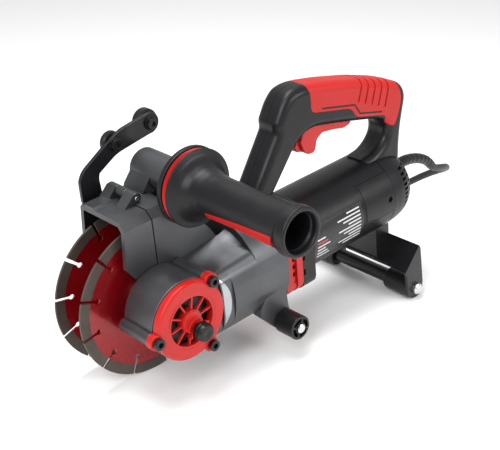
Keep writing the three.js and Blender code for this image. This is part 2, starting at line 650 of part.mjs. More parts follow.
function rearBracket() {
  const { x, z, radius, near, far, plate, bore } = REAR;
  const fold = [[283.5, -44], [285.5, -47]]; // where the web leaves the motor
  const lip = [261.5, -67.5]; // the web's lower front edge
  const ear = [...fold, [288.6, -90], ...arc(x, z, radius - 0.6, 5, -175, 7), [263.5, -72], lip];
  const web = [...fold, [266, -70.5], lip];
  const post = [[264, -28], [264, -66.5], [283.5, -46], [283.5, -28]];
  const body = join(
    slabY(ear, near, near + plate),
    slabY(ear, far - plate, far),
    slabY(web, near, far),
    slabY(post, MOTOR.y - 27, MOTOR.y + 27),
  );
  const housing = turnedX(rod(MOTOR.radius + GAP, 250, 300), MOTOR.y, 0, 40);
  return named('rear_bracket', blackSteel, cut(body, housing, turnedY(rod(bore, near - 1, far + 1), x, z, 12)));
}

function rearAxle() {
  const { x, z, radius, near, far, plate, bore } = REAR;
  const spacer = { near: -45.3, far: 27.7 };
  const head = { radius: 6, height: 4.5 };
  const axle = [
    [0, near - head.height], [head.radius, near - head.height], [head.radius, near - GAP],
    [bore - GAP, near - GAP], [bore - GAP, far + GAP],
    [head.radius, far + GAP], [head.radius, far + head.height], [0, far + head.height],
  ];
  const roller = (where, from, to) =>
    named(`rear_roller_${where}`, rubber, turnedY(tube(bore, radius, from, to), x, z));
  return [
    named('rear_axle', steel, turnedY(axle, x, z, 14)),
    named('rear_spacer', blackSteel, turnedY(tube(bore, 7.5, spacer.near, spacer.far), x, z, 18)),
    roller('near', near + plate + GAP, spacer.near - GAP),
    roller('far', spacer.far + GAP, far - plate - GAP),
  ];
}

// ---- cord ----
function strainRelief() {
  const path = [[330.4, 9], [344, 9.5], [362, 5], [377, -3], [387, -13]];
  const curve = new THREE.CatmullRomCurve3(path.map(([x, z]) => new THREE.Vector3(x, MOTOR.y, z)));
  const geometry = new THREE.ExtrudeGeometry(shapeFrom(circle(5.6, 12)), { steps: 12, extrudePath: curve });
  return named('strain_relief', rubber, geometry);
}

const cordRun = () => {
  const curve = new THREE.CatmullRomCurve3(CORD_ROUTE.map((point) => new THREE.Vector3(...point)));
  const section = shapeFrom(circle(CORD_RADIUS, 8));
  const geometry = new THREE.ExtrudeGeometry(section, { steps: 24, extrudePath: curve });
  return named('cord_run', rubber, geometry);
};

// The outer shape of the tied coil.
const cordCoil = () => {
  const { x, y, inner, outer, height } = COIL;
  const ring = lathe(tube(inner, outer, 0.2, height), 28).rotateX(Math.PI / 2).translate(x, y, 0);
  return named('cord_coil', rubber, ring);
};

// A plug with two round pins, lying on the floor beside the coil and pointing forwards.
const plug = () => {
  const { y, back, radius } = PLUG;
  const profile = [
    [0, back - 55], [radius - 2, back - 55], [radius, back - 53], [radius, back - 32], [12, back - 22],
    [7, back - 17], [5, back], [0, back],
  ];
  const place = radius + 0.2;
  const pins = [-9.5, 9.5].map((dy) => turnedX(rod(2.4, back - 74, back - 54), y + dy, place, 8));
  return named('plug', rubber, join(turnedX(profile, y, place, 20), ...pins));
};

// ---- the whole tool ----
const tool = new THREE.Group();
tool.add(
  ...blades(), ...spindleParts(), gearCase(), gearCover(), ...coverScrews(), lockButton(), layshaft(),
  mainGuard(), frontGuard(), hingePin(), rollerArm(), ...armHardware(), baffleRing(),
  motorHousing(), ...brushCovers(), ...armature(), ...brushes(), rearCap(), ...handle(),
  ...trigger(), ...sideHandle(), ...footRoller(), rearBracket(), ...rearAxle(), strainRelief(),
);
tool.rotation.y = -PITCH;
tool.position.z = BLADE.radius;

const part = new THREE.Group();
part.add(tool, cordRun(), cordCoil(), plug());
part.position.set(-MIDDLE.x, -MIDDLE.y, 0);

export default part;
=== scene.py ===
"""Looks of a twin-blade wall chaser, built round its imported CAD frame. Blender 4.5.

Shapes are made in the tool's own axes, in millimetres: the blade spindle is the Y axis with the near
blade at y = 0, and +X runs back along the motor. TOOL takes them to the frame's metres, nose-down on
blades and rollers.
"""
import json
import math

import bmesh
import bpy
from mathutils import Matrix, Vector

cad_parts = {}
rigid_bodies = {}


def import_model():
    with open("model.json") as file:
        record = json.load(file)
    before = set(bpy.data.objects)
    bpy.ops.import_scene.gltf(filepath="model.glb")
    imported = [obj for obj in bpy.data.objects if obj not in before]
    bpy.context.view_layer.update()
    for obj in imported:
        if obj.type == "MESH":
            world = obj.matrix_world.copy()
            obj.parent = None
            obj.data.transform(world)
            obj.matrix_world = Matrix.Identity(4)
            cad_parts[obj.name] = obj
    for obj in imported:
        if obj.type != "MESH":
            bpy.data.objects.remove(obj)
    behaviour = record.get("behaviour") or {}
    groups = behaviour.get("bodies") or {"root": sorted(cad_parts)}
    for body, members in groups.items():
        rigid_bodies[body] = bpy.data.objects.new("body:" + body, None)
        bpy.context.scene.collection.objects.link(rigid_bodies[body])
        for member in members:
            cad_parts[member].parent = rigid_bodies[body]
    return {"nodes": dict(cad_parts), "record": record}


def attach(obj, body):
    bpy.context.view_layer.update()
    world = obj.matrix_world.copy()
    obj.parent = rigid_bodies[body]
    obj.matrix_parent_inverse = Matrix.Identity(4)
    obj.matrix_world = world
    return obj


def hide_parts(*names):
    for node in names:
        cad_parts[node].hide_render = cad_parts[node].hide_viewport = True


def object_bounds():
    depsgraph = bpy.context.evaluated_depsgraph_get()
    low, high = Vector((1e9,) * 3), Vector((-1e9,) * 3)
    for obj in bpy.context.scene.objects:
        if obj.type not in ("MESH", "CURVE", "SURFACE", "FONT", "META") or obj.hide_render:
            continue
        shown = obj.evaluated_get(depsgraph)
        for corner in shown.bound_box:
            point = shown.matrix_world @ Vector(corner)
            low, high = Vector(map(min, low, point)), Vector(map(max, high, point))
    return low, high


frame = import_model()
cad_box = [list(corner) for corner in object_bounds()]

# ---- the tool's axes ----
MM = 0.001
GAP = 0.3
BLADE_RADIUS = 75
REAR_X, REAR_Z, REAR_RADIUS = 277, -92, 11.8
PITCH = math.asin((REAR_RADIUS - BLADE_RADIUS) / math.hypot(REAR_X, REAR_Z)) - math.atan2(REAR_Z, REAR_X)
MIDDLE = Vector((126.7, -42.6, 0))  # middle of the footprint before it is moved to the origin
STAND = Matrix.Scale(MM, 4) @ Matrix.Translation(-MIDDLE)
TOOL = STAND @ Matrix.Translation((0, 0, BLADE_RADIUS)) @ Matrix.Rotation(-PITCH, 4, "Y")

MOTOR_Y = -12
SPACING = 37.4

# ---- camera ----
CAMERA_PLACE = Vector((-472.2, -704.6, 522.9))
CAMERA_RIGHT = Vector((0.7302, -0.6786, -0.0796))
CAMERA_UP = Vector((0.3776, 0.3038, 0.8747))
LENS = 78.8


def add_camera():
    data = bpy.data.cameras.new("camera")
    data.lens = LENS
    data.sensor_width = 36
    data.clip_end = 20
    camera = bpy.data.objects.new("camera", data)
    right = (TOOL.to_3x3() @ CAMERA_RIGHT).normalized()
    up = (TOOL.to_3x3() @ CAMERA_UP).normalized()
    up = (up - right * up.dot(right)).normalized()
    back = right.cross(up)
    camera.matrix_world = (Matrix.Translation(TOOL @ CAMERA_PLACE)
                           @ Matrix((right, up, back)).transposed().to_4x4())
    bpy.context.scene.collection.objects.link(camera)
    bpy.context.scene.camera = camera


add_camera()


# ---- materials ----
def noise(tree, place, scale, detail=2.0):
    made = tree.nodes.new("ShaderNodeTexNoise")
    made.inputs["Scale"].default_value = scale
    made.inputs["Detail"].default_value = detail
    tree.links.new(place.outputs["Object"], made.inputs["Vector"])
    return made.outputs["Fac"]


def remap(tree, source, low, high):
    made = tree.nodes.new("ShaderNodeMapRange")
    made.inputs["From Min"].default_value = 0.3
    made.inputs["From Max"].default_value = 0.7
    made.inputs["To Min"].default_value = low
    made.inputs["To Max"].default_value = high
    tree.links.new(source, made.inputs["Value"])
    return made.outputs["Result"]


def finish(name, colour, roughness, metallic=0.0, grain=1500, lift=0.00003, drift=0.12, spread=0.06, coat=0.0,
           gloss=0.5):
    """A procedural finish: colour and roughness drift over the surface, and a fine grain lifts it."""
    made = bpy.data.materials.new(name)
    made.use_nodes = True
    made.diffuse_color = (*colour, 1)
    tree = made.node_tree
    shader = tree.nodes["Principled BSDF"]
    shader.inputs["Metallic"].default_value = metallic
    shader.inputs["Coat Weight"].default_value = coat
    shader.inputs["Specular IOR Level"].default_value = gloss
    shader.inputs["Coat Roughness"].default_value = 0.12
    place = tree.nodes.new("ShaderNodeTexCoord")
    mix = tree.nodes.new("ShaderNodeMix")
    mix.data_type = "RGBA"
    mix.inputs["A"].default_value = (*(c * (1 - drift) for c in colour), 1)
    mix.inputs["B"].default_value = (*(c * (1 + drift) for c in colour), 1)
    tree.links.new(remap(tree, noise(tree, place, 22, 4), 0, 1), mix.inputs["Factor"])
    tree.links.new(mix.outputs["Result"], shader.inputs["Base Color"])
    rough = remap(tree, noise(tree, place, 60, 3), roughness - spread, roughness + spread)
    tree.links.new(rough, shader.inputs["Roughness"])
    bump = tree.nodes.new("ShaderNodeBump")
    bump.inputs["Strength"].default_value = 1
    bump.inputs["Distance"].default_value = lift
    tree.links.new(noise(tree, place, grain, 2), bump.inputs["Height"])
    tree.links.new(bump.outputs["Normal"], shader.inputs["Normal"])
    return made


MAGNESIUM = finish("cast_magnesium", (0.1, 0.102, 0.108), 0.42, 0.85, grain=900, lift=0.00007, spread=0.05)
# Near-black dull material for the guards' inner faces: painted shade, standing for the shadow inside the
# guards.
PAINTED_SHADE_LINING = finish("guard_painted_shade", (0.006, 0.0055, 0.0055), 0.8, 0.0, grain=900, lift=0.00008,
                       gloss=0.06)
MACHINED = finish("machined_magnesium", (0.4, 0.41, 0.43), 0.3, 1.0, grain=2200, lift=0.00001, drift=0.05)
STEEL = finish("bright_steel", (0.62, 0.62, 0.63), 0.26, 1.0, grain=2500, lift=0.00001, drift=0.05)
GREASED = finish("greased_steel", (0.03, 0.028, 0.027), 0.3, 0.8, grain=2500, lift=0.00001, drift=0.2)
BEARING = finish("bearing_steel", (0.5, 0.51, 0.53), 0.3, 1.0, grain=2500, lift=0.00001, drift=0.05)
BLACK_STEEL = finish("black_steel", (0.006, 0.006, 0.007), 0.3, 0.0, grain=700, lift=0.00003, gloss=0.4)
PLASTIC = finish("black_plastic", (0.006, 0.0062, 0.0074), 0.36, 0.0, grain=2200, lift=0.00003, gloss=0.3)
SOFT_GRIP = finish("black_soft_grip", (0.006, 0.0062, 0.0074), 0.4, 0.0, grain=2600, lift=0.00005, gloss=0.3)
RED = finish("red_plastic", (0.46, 0.009, 0.007), 0.36, 0.0, grain=1500, lift=0.00001, drift=0.05, gloss=0.4)
GRIP_RED = finish("red_grip", (0.44, 0.009, 0.007), 0.45, 0.0, grain=2600, lift=0.00003, drift=0.05,
                  gloss=0.35)
LACQUER = finish("blade_lacquer", (0.3, 0.002, 0.006), 0.3, 0.55, grain=500, lift=0.00002, drift=0.15,
                 coat=0.6)
SINTER = finish("diamond_segment", (0.09, 0.073, 0.06), 0.5, 0.6, grain=1800, lift=0.00012, drift=0.35)
RUBBER = finish("black_rubber", (0.006, 0.006, 0.0065), 0.34, 0.0, grain=1600, lift=0.00002, gloss=0.35)
CORD_SHEATH = finish("cord_sheath", (0.009, 0.009, 0.01), 0.45, 0.0, grain=900, lift=0.00002)
COPPER = finish("copper", (0.6, 0.26, 0.13), 0.3, 1.0, lift=0.00001)
LABEL = finish("plate_foil", (0.012, 0.012, 0.013), 0.3, 0.0, grain=900, lift=0.000005, drift=0.04)
INK = finish("plate_print", (0.6, 0.6, 0.6), 0.4, 0.0, grain=900, lift=0.000005, drift=0.05)
PLATE_RED = finish("plate_red", (0.6, 0.03, 0.06), 0.4, 0.0, grain=900, lift=0.000005, drift=0.05)

SLOTS = {
    "cast_magnesium": MAGNESIUM, "bright_steel": STEEL, "bearing_steel": BEARING, "black_steel": BLACK_STEEL,
    "black_plastic": PLASTIC, "red_plastic": RED, "red_grip": GRIP_RED, "blade_lacquer": LACQUER,
    "black_rubber": RUBBER, "copper": COPPER,
}
NODE_SLOT = {row["node"]: row["material_slot"] for row in frame["record"]["subparts"]}
NODE_BODY = {node: body for body, nodes in frame["record"]["behaviour"]["bodies"].items() for node in nodes}


# ---- shape helpers, in tool millimetres ----
def arc(cx, cy, radius, start, end, steps):
    """Points on a circle between two angles in degrees, both ends included."""
    angles = (math.radians(start + (end - start) * i / steps) for i in range(steps + 1))
    return [(cx + radius * math.cos(a), cy + radius * math.sin(a)) for a in angles]


def circle(radius, cx=0.0, cy=0.0, sides=64):
    return arc(cx, cy, radius, 0, 360, sides)[:-1]


def around(degrees, radius, cx=0.0, cy=0.0):
    angle = math.radians(degrees)
    return cx + radius * math.cos(angle), cy + radius * math.sin(angle)


def rod(radius, start, end):
    return [(0, start), (radius, start), (radius, end), (0, end)]


def tube(inner, outer, start, end):
    return [(inner, start), (outer, start), (outer, end), (inner, end), (inner, start)]


def softened(outline, closed, radius=1.5, steps=4):
    """An outline with its corners rounded off by a short curve."""
    points = [Vector(p) for p in outline]
    made = []
    count = len(points)
    for i, here in enumerate(points):
        if not closed and i in (0, count - 1):
            made.append(tuple(here))
            continue
        before, after = points[i - 1], points[(i + 1) % count]
        if (before - here).length < 1e-6 or (after - here).length < 1e-6:
            made.append(tuple(here))
            continue
        reach = min(radius, (before - here).length * 0.45, (after - here).length * 0.45)
        start = here + (before - here).normalized() * reach
        end = here + (after - here).normalized() * reach
        for k in range(steps + 1):
            t = k / steps
            made.append(tuple(start * (1 - t) ** 2 + here * (2 * t * (1 - t)) + end * t * t))
    return made


def area_of(outline):
    pairs = zip(outline, outline[1:] + outline[:1])
    return sum(a[0] * b[1] - b[0] * a[1] for a, b in pairs) / 2


def shrunk(outline, by):
    """The outline moved inwards by a distance, corners mitred."""
    turn = 1 if area_of(outline) > 0 else -1
    made = []
    count = len(outline)
    for i in range(count):
        here = Vector(outline[i])
        to = (here - Vector(outline[i - 1])).normalized()
        away = (Vector(outline[(i + 1) % count]) - here).normalized()
        inward = [Vector((-d.y, d.x)) * turn for d in (to, away)]
        middle = (inward[0] + inward[1]).normalized()
        made.append(tuple(here + middle * (by / max(0.4, middle.dot(inward[0])))))
    return made


def mesh_object(name, vertices, faces):
    mesh = bpy.data.meshes.new(name)
    mesh.from_pydata(vertices, [], faces)
    mesh.update()
    work = bmesh.new()
    work.from_mesh(mesh)
    bmesh.ops.remove_doubles(work, verts=work.verts, dist=1e-4)
    bmesh.ops.recalc_face_normals(work, faces=work.faces)
    work.to_mesh(mesh)
    work.free()
    made = bpy.data.objects.new(name, mesh)
    bpy.context.scene.collection.objects.link(made)
    return made


def stacked(rings, closed_ends=True):
    """Vertices and faces of a skin over rings of the same number of points."""
    count = len(rings[0])
    vertices = [point for ring in rings for point in ring]
    faces = []
    for i in range(len(rings) - 1):
        for j in range(count):
            k = (j + 1) % count
            faces.append((i * count + j, i * count + k, (i + 1) * count + k, (i + 1) * count + j))
    if closed_ends:
        faces.append(tuple(range(count)))
        faces.append(tuple(range((len(rings) - 1) * count, len(rings) * count)))
    return vertices, faces


def slab(outline, y0, y1, holes=()):
    made = mesh_object("slab", *stacked([[(x, y, z) for x, z in outline] for y in (y0, y1)]))
    return cut(made, *(slab(hole, y0 - 1, y1 + 1) for hole in holes)) if holes else made


def pillow(outline, y0, y1, radius, steps=7, grow=0.0):
    """A slab whose edges are rounded all the way round."""
    rings = []
    for side, start, end in ((y0 + radius, 0, 90), (y1 - radius, 90, 180)):
        for k in range(steps + 1):
            angle = math.radians(start + (end - start) * k / steps)
            ring = shrunk(outline, radius * (1 - math.sin(angle)) - grow)
            rings.append([(x, side - radius * math.cos(angle), z) for x, z in ring])
    return mesh_object("pillow", *stacked(rings))


def bar(outline, x0, x1):
    return mesh_object("bar", *stacked([[(x, y, z) for y, z in outline] for x in (x0, x1)]))


def loft(outline0, x0, outline1, x1):
    return mesh_object("loft", *stacked([[(x0, y, z) for y, z in outline0],
                                         [(x1, y, z) for y, z in outline1]]))


def block(x0, x1, y0, y1, z0, z1):
    return slab([(x0, z0), (x1, z0), (x1, z1), (x0, z1)], y0, y1)


def turned(profile, cx=0.0, cz=0.0, sides=72, axis="Y"):
    """A turned piece. The profile lists (radius, place along the axis); it closes on itself or the axis."""
    loop = profile[0] == profile[-1]
    points = profile[:-1] if loop else profile
    rings = []
    for radius, along in points:
        ring = [(radius * math.cos(a), along, radius * math.sin(a)) for a in
                (2 * math.pi * k / sides for k in range(sides))]
        rings.append(ring)
    if loop:
        rings.append(rings[0])
    vertices, faces = stacked(rings, closed_ends=False)
    if axis == "X":
        place = [(y, cx + x, cz + z) for x, y, z in vertices]
    else:
        place = [(cx + x, y, cz + z) for x, y, z in vertices]
    return mesh_object("turned", place, faces)


def turned_x(profile, cy=MOTOR_Y, cz=0.0, sides=72):
    return turned(profile, cy, cz, sides, axis="X")


def baked(target):
    graph = bpy.context.evaluated_depsgraph_get()
    mesh = bpy.data.meshes.new_from_object(target.evaluated_get(graph))
    target.modifiers.clear()
    target.data = mesh
    return target


def combine(target, others, how):
    for other in others:
        modifier = target.modifiers.new(how, "BOOLEAN")
        modifier.operation = how
        modifier.solver = "EXACT"
        modifier.object = other
        baked(target)
        bpy.data.objects.remove(other)
    return target


def join(target, *others):
    return combine(target, others, "UNION")


def cut(target, *others):
    return combine(target, others, "DIFFERENCE")


def common(target, *others):
    return combine(target, others, "INTERSECT")


def copy_of(target):
    made = bpy.data.objects.new(target.name, target.data.copy())
    bpy.context.scene.collection.objects.link(made)
    return made


def bevelled(target, width, segments=2, angle=32):
    work = bmesh.new()
    work.from_mesh(target.data)
    bmesh.ops.remove_doubles(work, verts=work.verts, dist=0.01)
    bmesh.ops.dissolve_limit(work, angle_limit=math.radians(0.6), verts=work.verts, edges=work.edges)
    work.to_mesh(target.data)
    work.free()
    modifier = target.modifiers.new("bevel", "BEVEL")
    modifier.width = width
    modifier.segments = segments
    modifier.limit_method = "ANGLE"
    modifier.angle_limit = math.radians(angle)
    modifier.miter_outer = "MITER_ARC"
    return baked(target)


def piece(name, target, material, nodes=(), body=None, bevel=0.0, segments=2, at=TOOL, sharp=36):
    """Gives a shape its edges, material, body and the CAD nodes that it stands for."""
    target.name = name
    if bevel > 0:
        bevelled(target, bevel, segments)
    target.data.transform(at)
    target.data.shade_smooth()
    target.data.set_sharp_from_angle(angle=math.radians(sharp))
    normals = target.modifiers.new("normals", "WEIGHTED_NORMAL")
    normals.keep_sharp = True
    target.data.materials.clear()
    target.data.materials.append(material)
    nodes = [nodes] if isinstance(nodes, str) else list(nodes)
    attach(target, body or NODE_BODY[nodes[0]])
    if nodes:
        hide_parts(*nodes)
    return target


# ---- cord ----
CORD = {"radius": 4, "length": 2.95}
COIL = {"x": 225, "y": 185, "radii": (48, 56, 56, 48, 40, 40, 48, 56), "floors": (0, 0, 1, 1, 1, 2, 2, 2)}
PLUG = {"y": COIL["y"] - 56, "back": 191.7, "radius": 18}
CORD_ROUTE = [
    (387.3, -12, 100.6), (392.5, -11.7, 97.2), (401.5, -10.2, 94), (413, -7.5, 90.8), (425, -3, 86.5),
              (436, 4, 81),
    (445, 13, 74.5), (450.5, 25, 67.5), (452, 38, 60), (450.5, 51, 51.5), (447.5, 64, 42), (444, 77, 31.5),
    (439, 89, 20.5), (431, 100, 11.5), (420, 109, 6), (406, 116, 4.3), (389, 121, 4.3), (370, 125, 4.3),
    (350, 128, 4.3), (330, 130.5, 4.3), (310, 133, 4.3), (290, 135.5, 4.3), (278, 136.7, 4.3),
              (268, 137, 4.3),
]


def coil_points():
    """Eight turns in three layers, wound clockwise from above; radius changes in a turn's last part."""
    steps = 24
    turns = len(COIL["radii"])
    made = []
    for i in range(turns * steps):
        turn, part = divmod(i / steps, 1)
        here, after = int(turn), min(int(turn) + 1, turns - 1)
        shift = max(0.0, (part - 0.6) / 0.4)
        shift = shift * shift * (3 - 2 * shift)
        radius = COIL["radii"][here] * (1 - shift) + COIL["radii"][after] * shift
        floor = COIL["floors"][here] * (1 - shift) + COIL["floors"][after] * shift
        angle = -math.pi / 2 - 2 * math.pi * part
        made.append((COIL["x"] + radius * math.cos(angle), COIL["y"] + radius * math.sin(angle),
                     4.3 + 8 * floor))
    return made


def add_cord():
    tail = [(225, 129, 20.3), (210, 129, 20), (198, 129, 18.8), (192, 129, 18.2)]
    points = CORD_ROUTE + [(246, 137, 4.3)] + coil_points() + tail
    curve = bpy.data.curves.new("cord", "CURVE")
    curve.dimensions = "3D"
    curve.bevel_depth = CORD["radius"] * MM
    curve.bevel_resolution = 4
    curve.use_fill_caps = True
    spline = curve.splines.new("POLY")
    spline.points.add(len(points) - 1)
    for spot, point in zip(spline.points, points):
        spot.co = (*(STAND @ Vector(point)), 1)
    cord = bpy.data.objects.new("mains_cord", curve)
    bpy.context.scene.collection.objects.link(cord)
    curve.materials.append(CORD_SHEATH)
    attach(cord, "tool")
    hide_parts("cord_run", "cord_coil")
    return cord


def add_plug():
    back, radius = PLUG["back"], PLUG["radius"]
    profile = [(0, back - 55), (radius - 2, back - 55), (radius, back - 53), (radius, back - 32),
               (12, back - 22),
               (7, back - 17), (5, back), (0, back)]
    place = radius + 0.2
    body = turned_x(softened(profile, False, 2), PLUG["y"], place)
    pins = [turned_x(softened(rod(2.4, back - 74, back - 54), False, 0.8), PLUG["y"] + side, place, 20)
            for side in (-9.5, 9.5)]
    ribs = [turned_x(tube(6, 8.6, back - 14 + 4 * k, back - 12 + 4 * k), PLUG["y"], place,
                     32) for k in range(3)]
    plug = piece("mains_plug", join(body, *ribs), CORD_SHEATH, "plug", at=STAND)
    for k, pin in enumerate(pins):
        piece(f"plug_pin_{k + 1}", pin, STEEL, body="tool", at=STAND)
    return [plug] + [bpy.data.objects[f"plug_pin_{k}"] for k in (1, 2)]


def add_tie():
    x, y = COIL["x"] + 48, COIL["y"]
    outline = softened([(x - 13.6, 0.3), (x + 13.6, 0.3), (x + 13.6, 24.9), (x - 13.6, 24.9)], True, 4)
    inner = shrunk(outline, 1)
    return piece("coil_tie", slab(outline, y - 5, y + 5, holes=[inner]), PLASTIC, body="tool", bevel=0.3,
                 at=STAND)


def strain_relief():
    """Moulded sleeve: tapered, with ribs cut round its flexible part."""
    path = [Vector((x, MOTOR_Y, z)) for x, z in ((330.4, 9), (344, 9.5), (362, 5), (377, -3), (387, -13))]
    steps = 60
    rings = []
    for i in range(steps + 1):
        t = i / steps * (len(path) - 1)
        k = min(int(t), len(path) - 2)
        u = t - k
        p0, p1, p2 = path[max(k - 1, 0)], path[k], path[k + 1]
        p3 = path[min(k + 2, len(path) - 1)]
        here = 0.5 * ((2 * p1) + (p2 - p0) * u + (2 * p0 - 5 * p1 + 4 * p2 - p3) * u * u
                      + (3 * p1 - p0 - 3 * p2 + p3) * u ** 3)
        along = 0.5 * ((p2 - p0) + 2 * (2 * p0 - 5 * p1 + 4 * p2 - p3) * u
                       + 3 * (3 * p1 - p0 - 3 * p2 + p3) * u * u)
        along.normalize()
        side = Vector((0, 1, 0))
        rise = along.cross(side).normalized()
        groove = 0.4 if 12 < i < 54 and i % 6 in (0, 1) else 0
        radius = 6.2 - 1.1 * i / steps - groove
        rings.append([here + radius * (side * math.cos(a) + rise * math.sin(a)) for a in
                      (2 * math.pi * j / 32 for j in range(32))])
    sleeve = mesh_object("sleeve", *stacked(rings))
    return piece("cord_sleeve", sleeve, RUBBER, "strain_relief")


cord = add_cord()
cord_pieces = [strain_relief(), *add_plug(), add_tie()]
STAND @ Vector(CORD_ROUTE[0])


# ---- blades ----
def blade(name, y, turn):
    slots, half, eye, rim, tip = 12, 1.2, 2.6, 66, BLADE_RADIUS
    step = 360 / slots

    def gap(radius):
        return math.degrees(half / radius)

    outline = []
    for i in range(slots):
        start = turn + i * step
        outline += arc(0, 0, rim, start + gap(rim), start + step - gap(rim), 8)
        angle = math.radians(start + step)
        keyhole = arc(tip - 17, 0, eye, -28, -332, 12)
        outline += [(a * math.cos(angle) - b * math.sin(angle), a * math.sin(angle) + b * math.cos(angle))
                    for a, b in keyhole]
    core = cut(slab(outline, y - 0.95, y + 0.95), turned(rod(11.3, y - 3, y + 3), sides=48))
    piece(name + "_core", core, LACQUER, name, bevel=0.15, segments=1)
    segments = []
    for i in range(slots):
        start = turn + i * step
        outer = arc(0, 0, tip, start + gap(tip) * 1.25, start + step - gap(tip) * 1.25, 8)
        inner = arc(0, 0, rim - 0.8, start + step - gap(rim) * 1.25, start + gap(rim) * 1.25, 8)
        segments.append(slab(outer + inner, y - 1.2, y + 1.2))
    vertices, faces = [], []
    for part in segments:
        first = len(vertices)
        vertices += [tuple(v.co) for v in part.data.vertices]
        faces += [tuple(first + k for k in face.vertices) for face in part.data.polygons]
        bpy.data.objects.remove(part)
    rim_piece = mesh_object("rim", vertices, faces)
    piece(name + "_segments", rim_piece, SINTER, body=NODE_BODY[name], bevel=0.25)


blade("blade_near", 0, 8)
blade("blade_far", SPACING, 17.5)


# ---- spindle and its pieces ----
def spindle_parts():
    half = 1.2
    face = SPACING + half + GAP
    shaft = [(0, -56), (6, -56), (7, -55), (7, -52.6), (10, -52.6), (10, -12), (11, -12), (11, 48),
             (10, 49), (0, 49)]
    nut = slab(circle(15, sides=6), face + 4 + GAP, face + 10, holes=[circle(11.2, sides=48)])
    piece("spindle_shaft", turned(shaft), STEEL, "spindle")
    for name, y0, y1 in (("inner_flange", -10, -half - GAP),
                         ("blade_spacer", half + GAP, SPACING - half - GAP),
                         ("outer_flange", face, face + 4)):
        profile = softened([(11.2, y0), (21, y0), (21, y1), (11.2, y1)], True, 0.8)
        piece(name + "_turned", turned(profile + profile[:1]), STEEL, name)
    piece("clamp_nut_hex", common(nut, turned(softened(rod(15.2, face + 4, face + 10.1), False, 1.6))), STEEL,
          "clamp_nut", bevel=0.3)


def bevel_gear():
    """Tooth flanks are a wave round the gear, the same on each ring of its cone."""
    sides, teeth = 224, 28
    rings = []
    for radius, y, depth in ((24, -52.3, 0), (26, -52, 1.2), (28.5, -48, 1.3), (28, -44.6, 1.2),
                             (16, -40.7, 0.5)):
        ring = []
        for k in range(sides):
            angle = 2 * math.pi * k / sides
            wave = max(-1.0, min(1.0, 2.2 * math.sin(teeth * angle)))
            reach = radius + depth * (wave - 1)
            ring.append((reach * math.cos(angle), y, reach * math.sin(angle)))
        rings.append(ring)
    gear = cut(mesh_object("gear", *stacked(rings)), turned(rod(10.2, -60, -30), sides=48))
    piece("bevel_gear_toothed", gear, GREASED, "bevel_gear", sharp=30)


# ---- gear case and cover ----
GEAR = {"radius": 38, "near": -53.3, "far": -14.3}
BOLTS = (48, 184, 299)
BOLT_CIRCLE = 39
BARREL_BACK = 121
LOCK = (4.3, -9)
LAYSHAFT_Y = -35
FOOT = {"x": 111, "z": -56.9, "radius": 12, "near": -79, "far": -56.4}


def barrel(flare, nearest=-60.0, grow=0.0):
    """Section of the barrel beside the blades as (y, z), at a given flare."""
    points = [(GEAR["far"], 30 + 10 * flare), (-48.5, 22 + 6 * flare), (-54.8, 16 + 2 * flare), (-58.4, 6),
              (-59.3, -6), (-58, -18), (-54, -30), (-49.5, -38), (GEAR["far"], -38)]
    section = [(max(y, nearest), z) for y, z in points]
    crowned = section[:1] + softened(section, False, 3.2, 5)[1:-1] + section[-1:]
    return shrunk(crowned, -grow) if grow else crowned


def gear_case():
    near, far = GEAR["near"], GEAR["far"]
    body = turned(softened(rod(GEAR["radius"], near, far), False, 1), sides=128)
    neck = mesh_object("neck", *stacked([[(x, y, z) for y, z in barrel(flare, nearest)] for x, flare,
                                         nearest in (
        (5, 0, near), (40, 0.3, near))]))
    step = loft(barrel(0.3, -56.6), 39.7, barrel(0.4, -56.6), 53)
    flare = loft(barrel(0.4), 52.9, barrel(1.1), BARREL_BACK)
    collar = turned_x(softened(rod(46, 84.5, BARREL_BACK), False, 1.5), sides=128)
    cone = common(turned_x([(0, 56), (30, 56), (46, 108), (46, 112), (0, 112)], sides=128),
                  block(50, BARREL_BACK, -70, far, -60, 60))
    pad = block(92, BARREL_BACK, MOTOR_Y - 15, MOTOR_Y + 15, 38, 48.2)
    foot = slab([(84, -34), (97, -14), (116.5, -14), (119, -46)] + arc(FOOT["x"], FOOT["z"], 11, 25, -120, 24)
                + [(84, -42)], -56, -44, holes=[circle(4.3, FOOT["x"], FOOT["z"])])
    ribs = [turned(softened(rod(6.2, near, far), False, 0.8), *around(deg, BOLT_CIRCLE),
                   sides=40) for deg in BOLTS]
    body = join(body, neck, step, flare, collar, cone, pad, foot, *ribs)
    body = cut(body, turned(rod(31.5, near - 1, -38)), turned(rod(17.5, -39, -27.5)),
               turned(rod(16.3, -28, -15.7)),
               turned(rod(12.5, -16, far + 1)), turned_x(rod(10.6, 0, 97), LAYSHAFT_Y),
               turned_x(rod(18.5, 96, BARREL_BACK + 1), LAYSHAFT_Y), turned_x(rod(14, 96, BARREL_BACK + 1)))
    piece("gear_case_casting", body, MAGNESIUM, "gear_case", bevel=0.5, sharp=30)
    band = loft(barrel(0.3, -56.6, 0.25), 41, barrel(0.4, -56.6, 0.25), 50)
    band = common(band, turned(rod(36, -62, -30), 14, -4, 96))
    piece("machined_band", cut(band, loft(barrel(0.3, -56.6, -0.4), 40, barrel(0.4, -56.6, -0.4), 53)),
          MACHINED,
          body="tool")


def cover_window(deg):
    """A window between two ribs of the cover: its sides are parallel to the ribs."""
    low, high, half_rib, step = 10.8, 23.6, 0.75, 36
    outline = []
    for radius, turn in ((low, -1), (low, 1), (high, 1), (high, -1)):
        sweep = step / 2 - math.degrees(math.asin(half_rib / radius))
        outline.append((radius, turn * sweep))
    inner = [around(deg + a, low) for a in (outline[0][1], 0, outline[1][1])]
    reach = outline[2][1]
    outer = [around(deg + reach * (1 - k / 4), high) for k in range(9)]
    return softened(inner + outer, True, 0.8, 2)


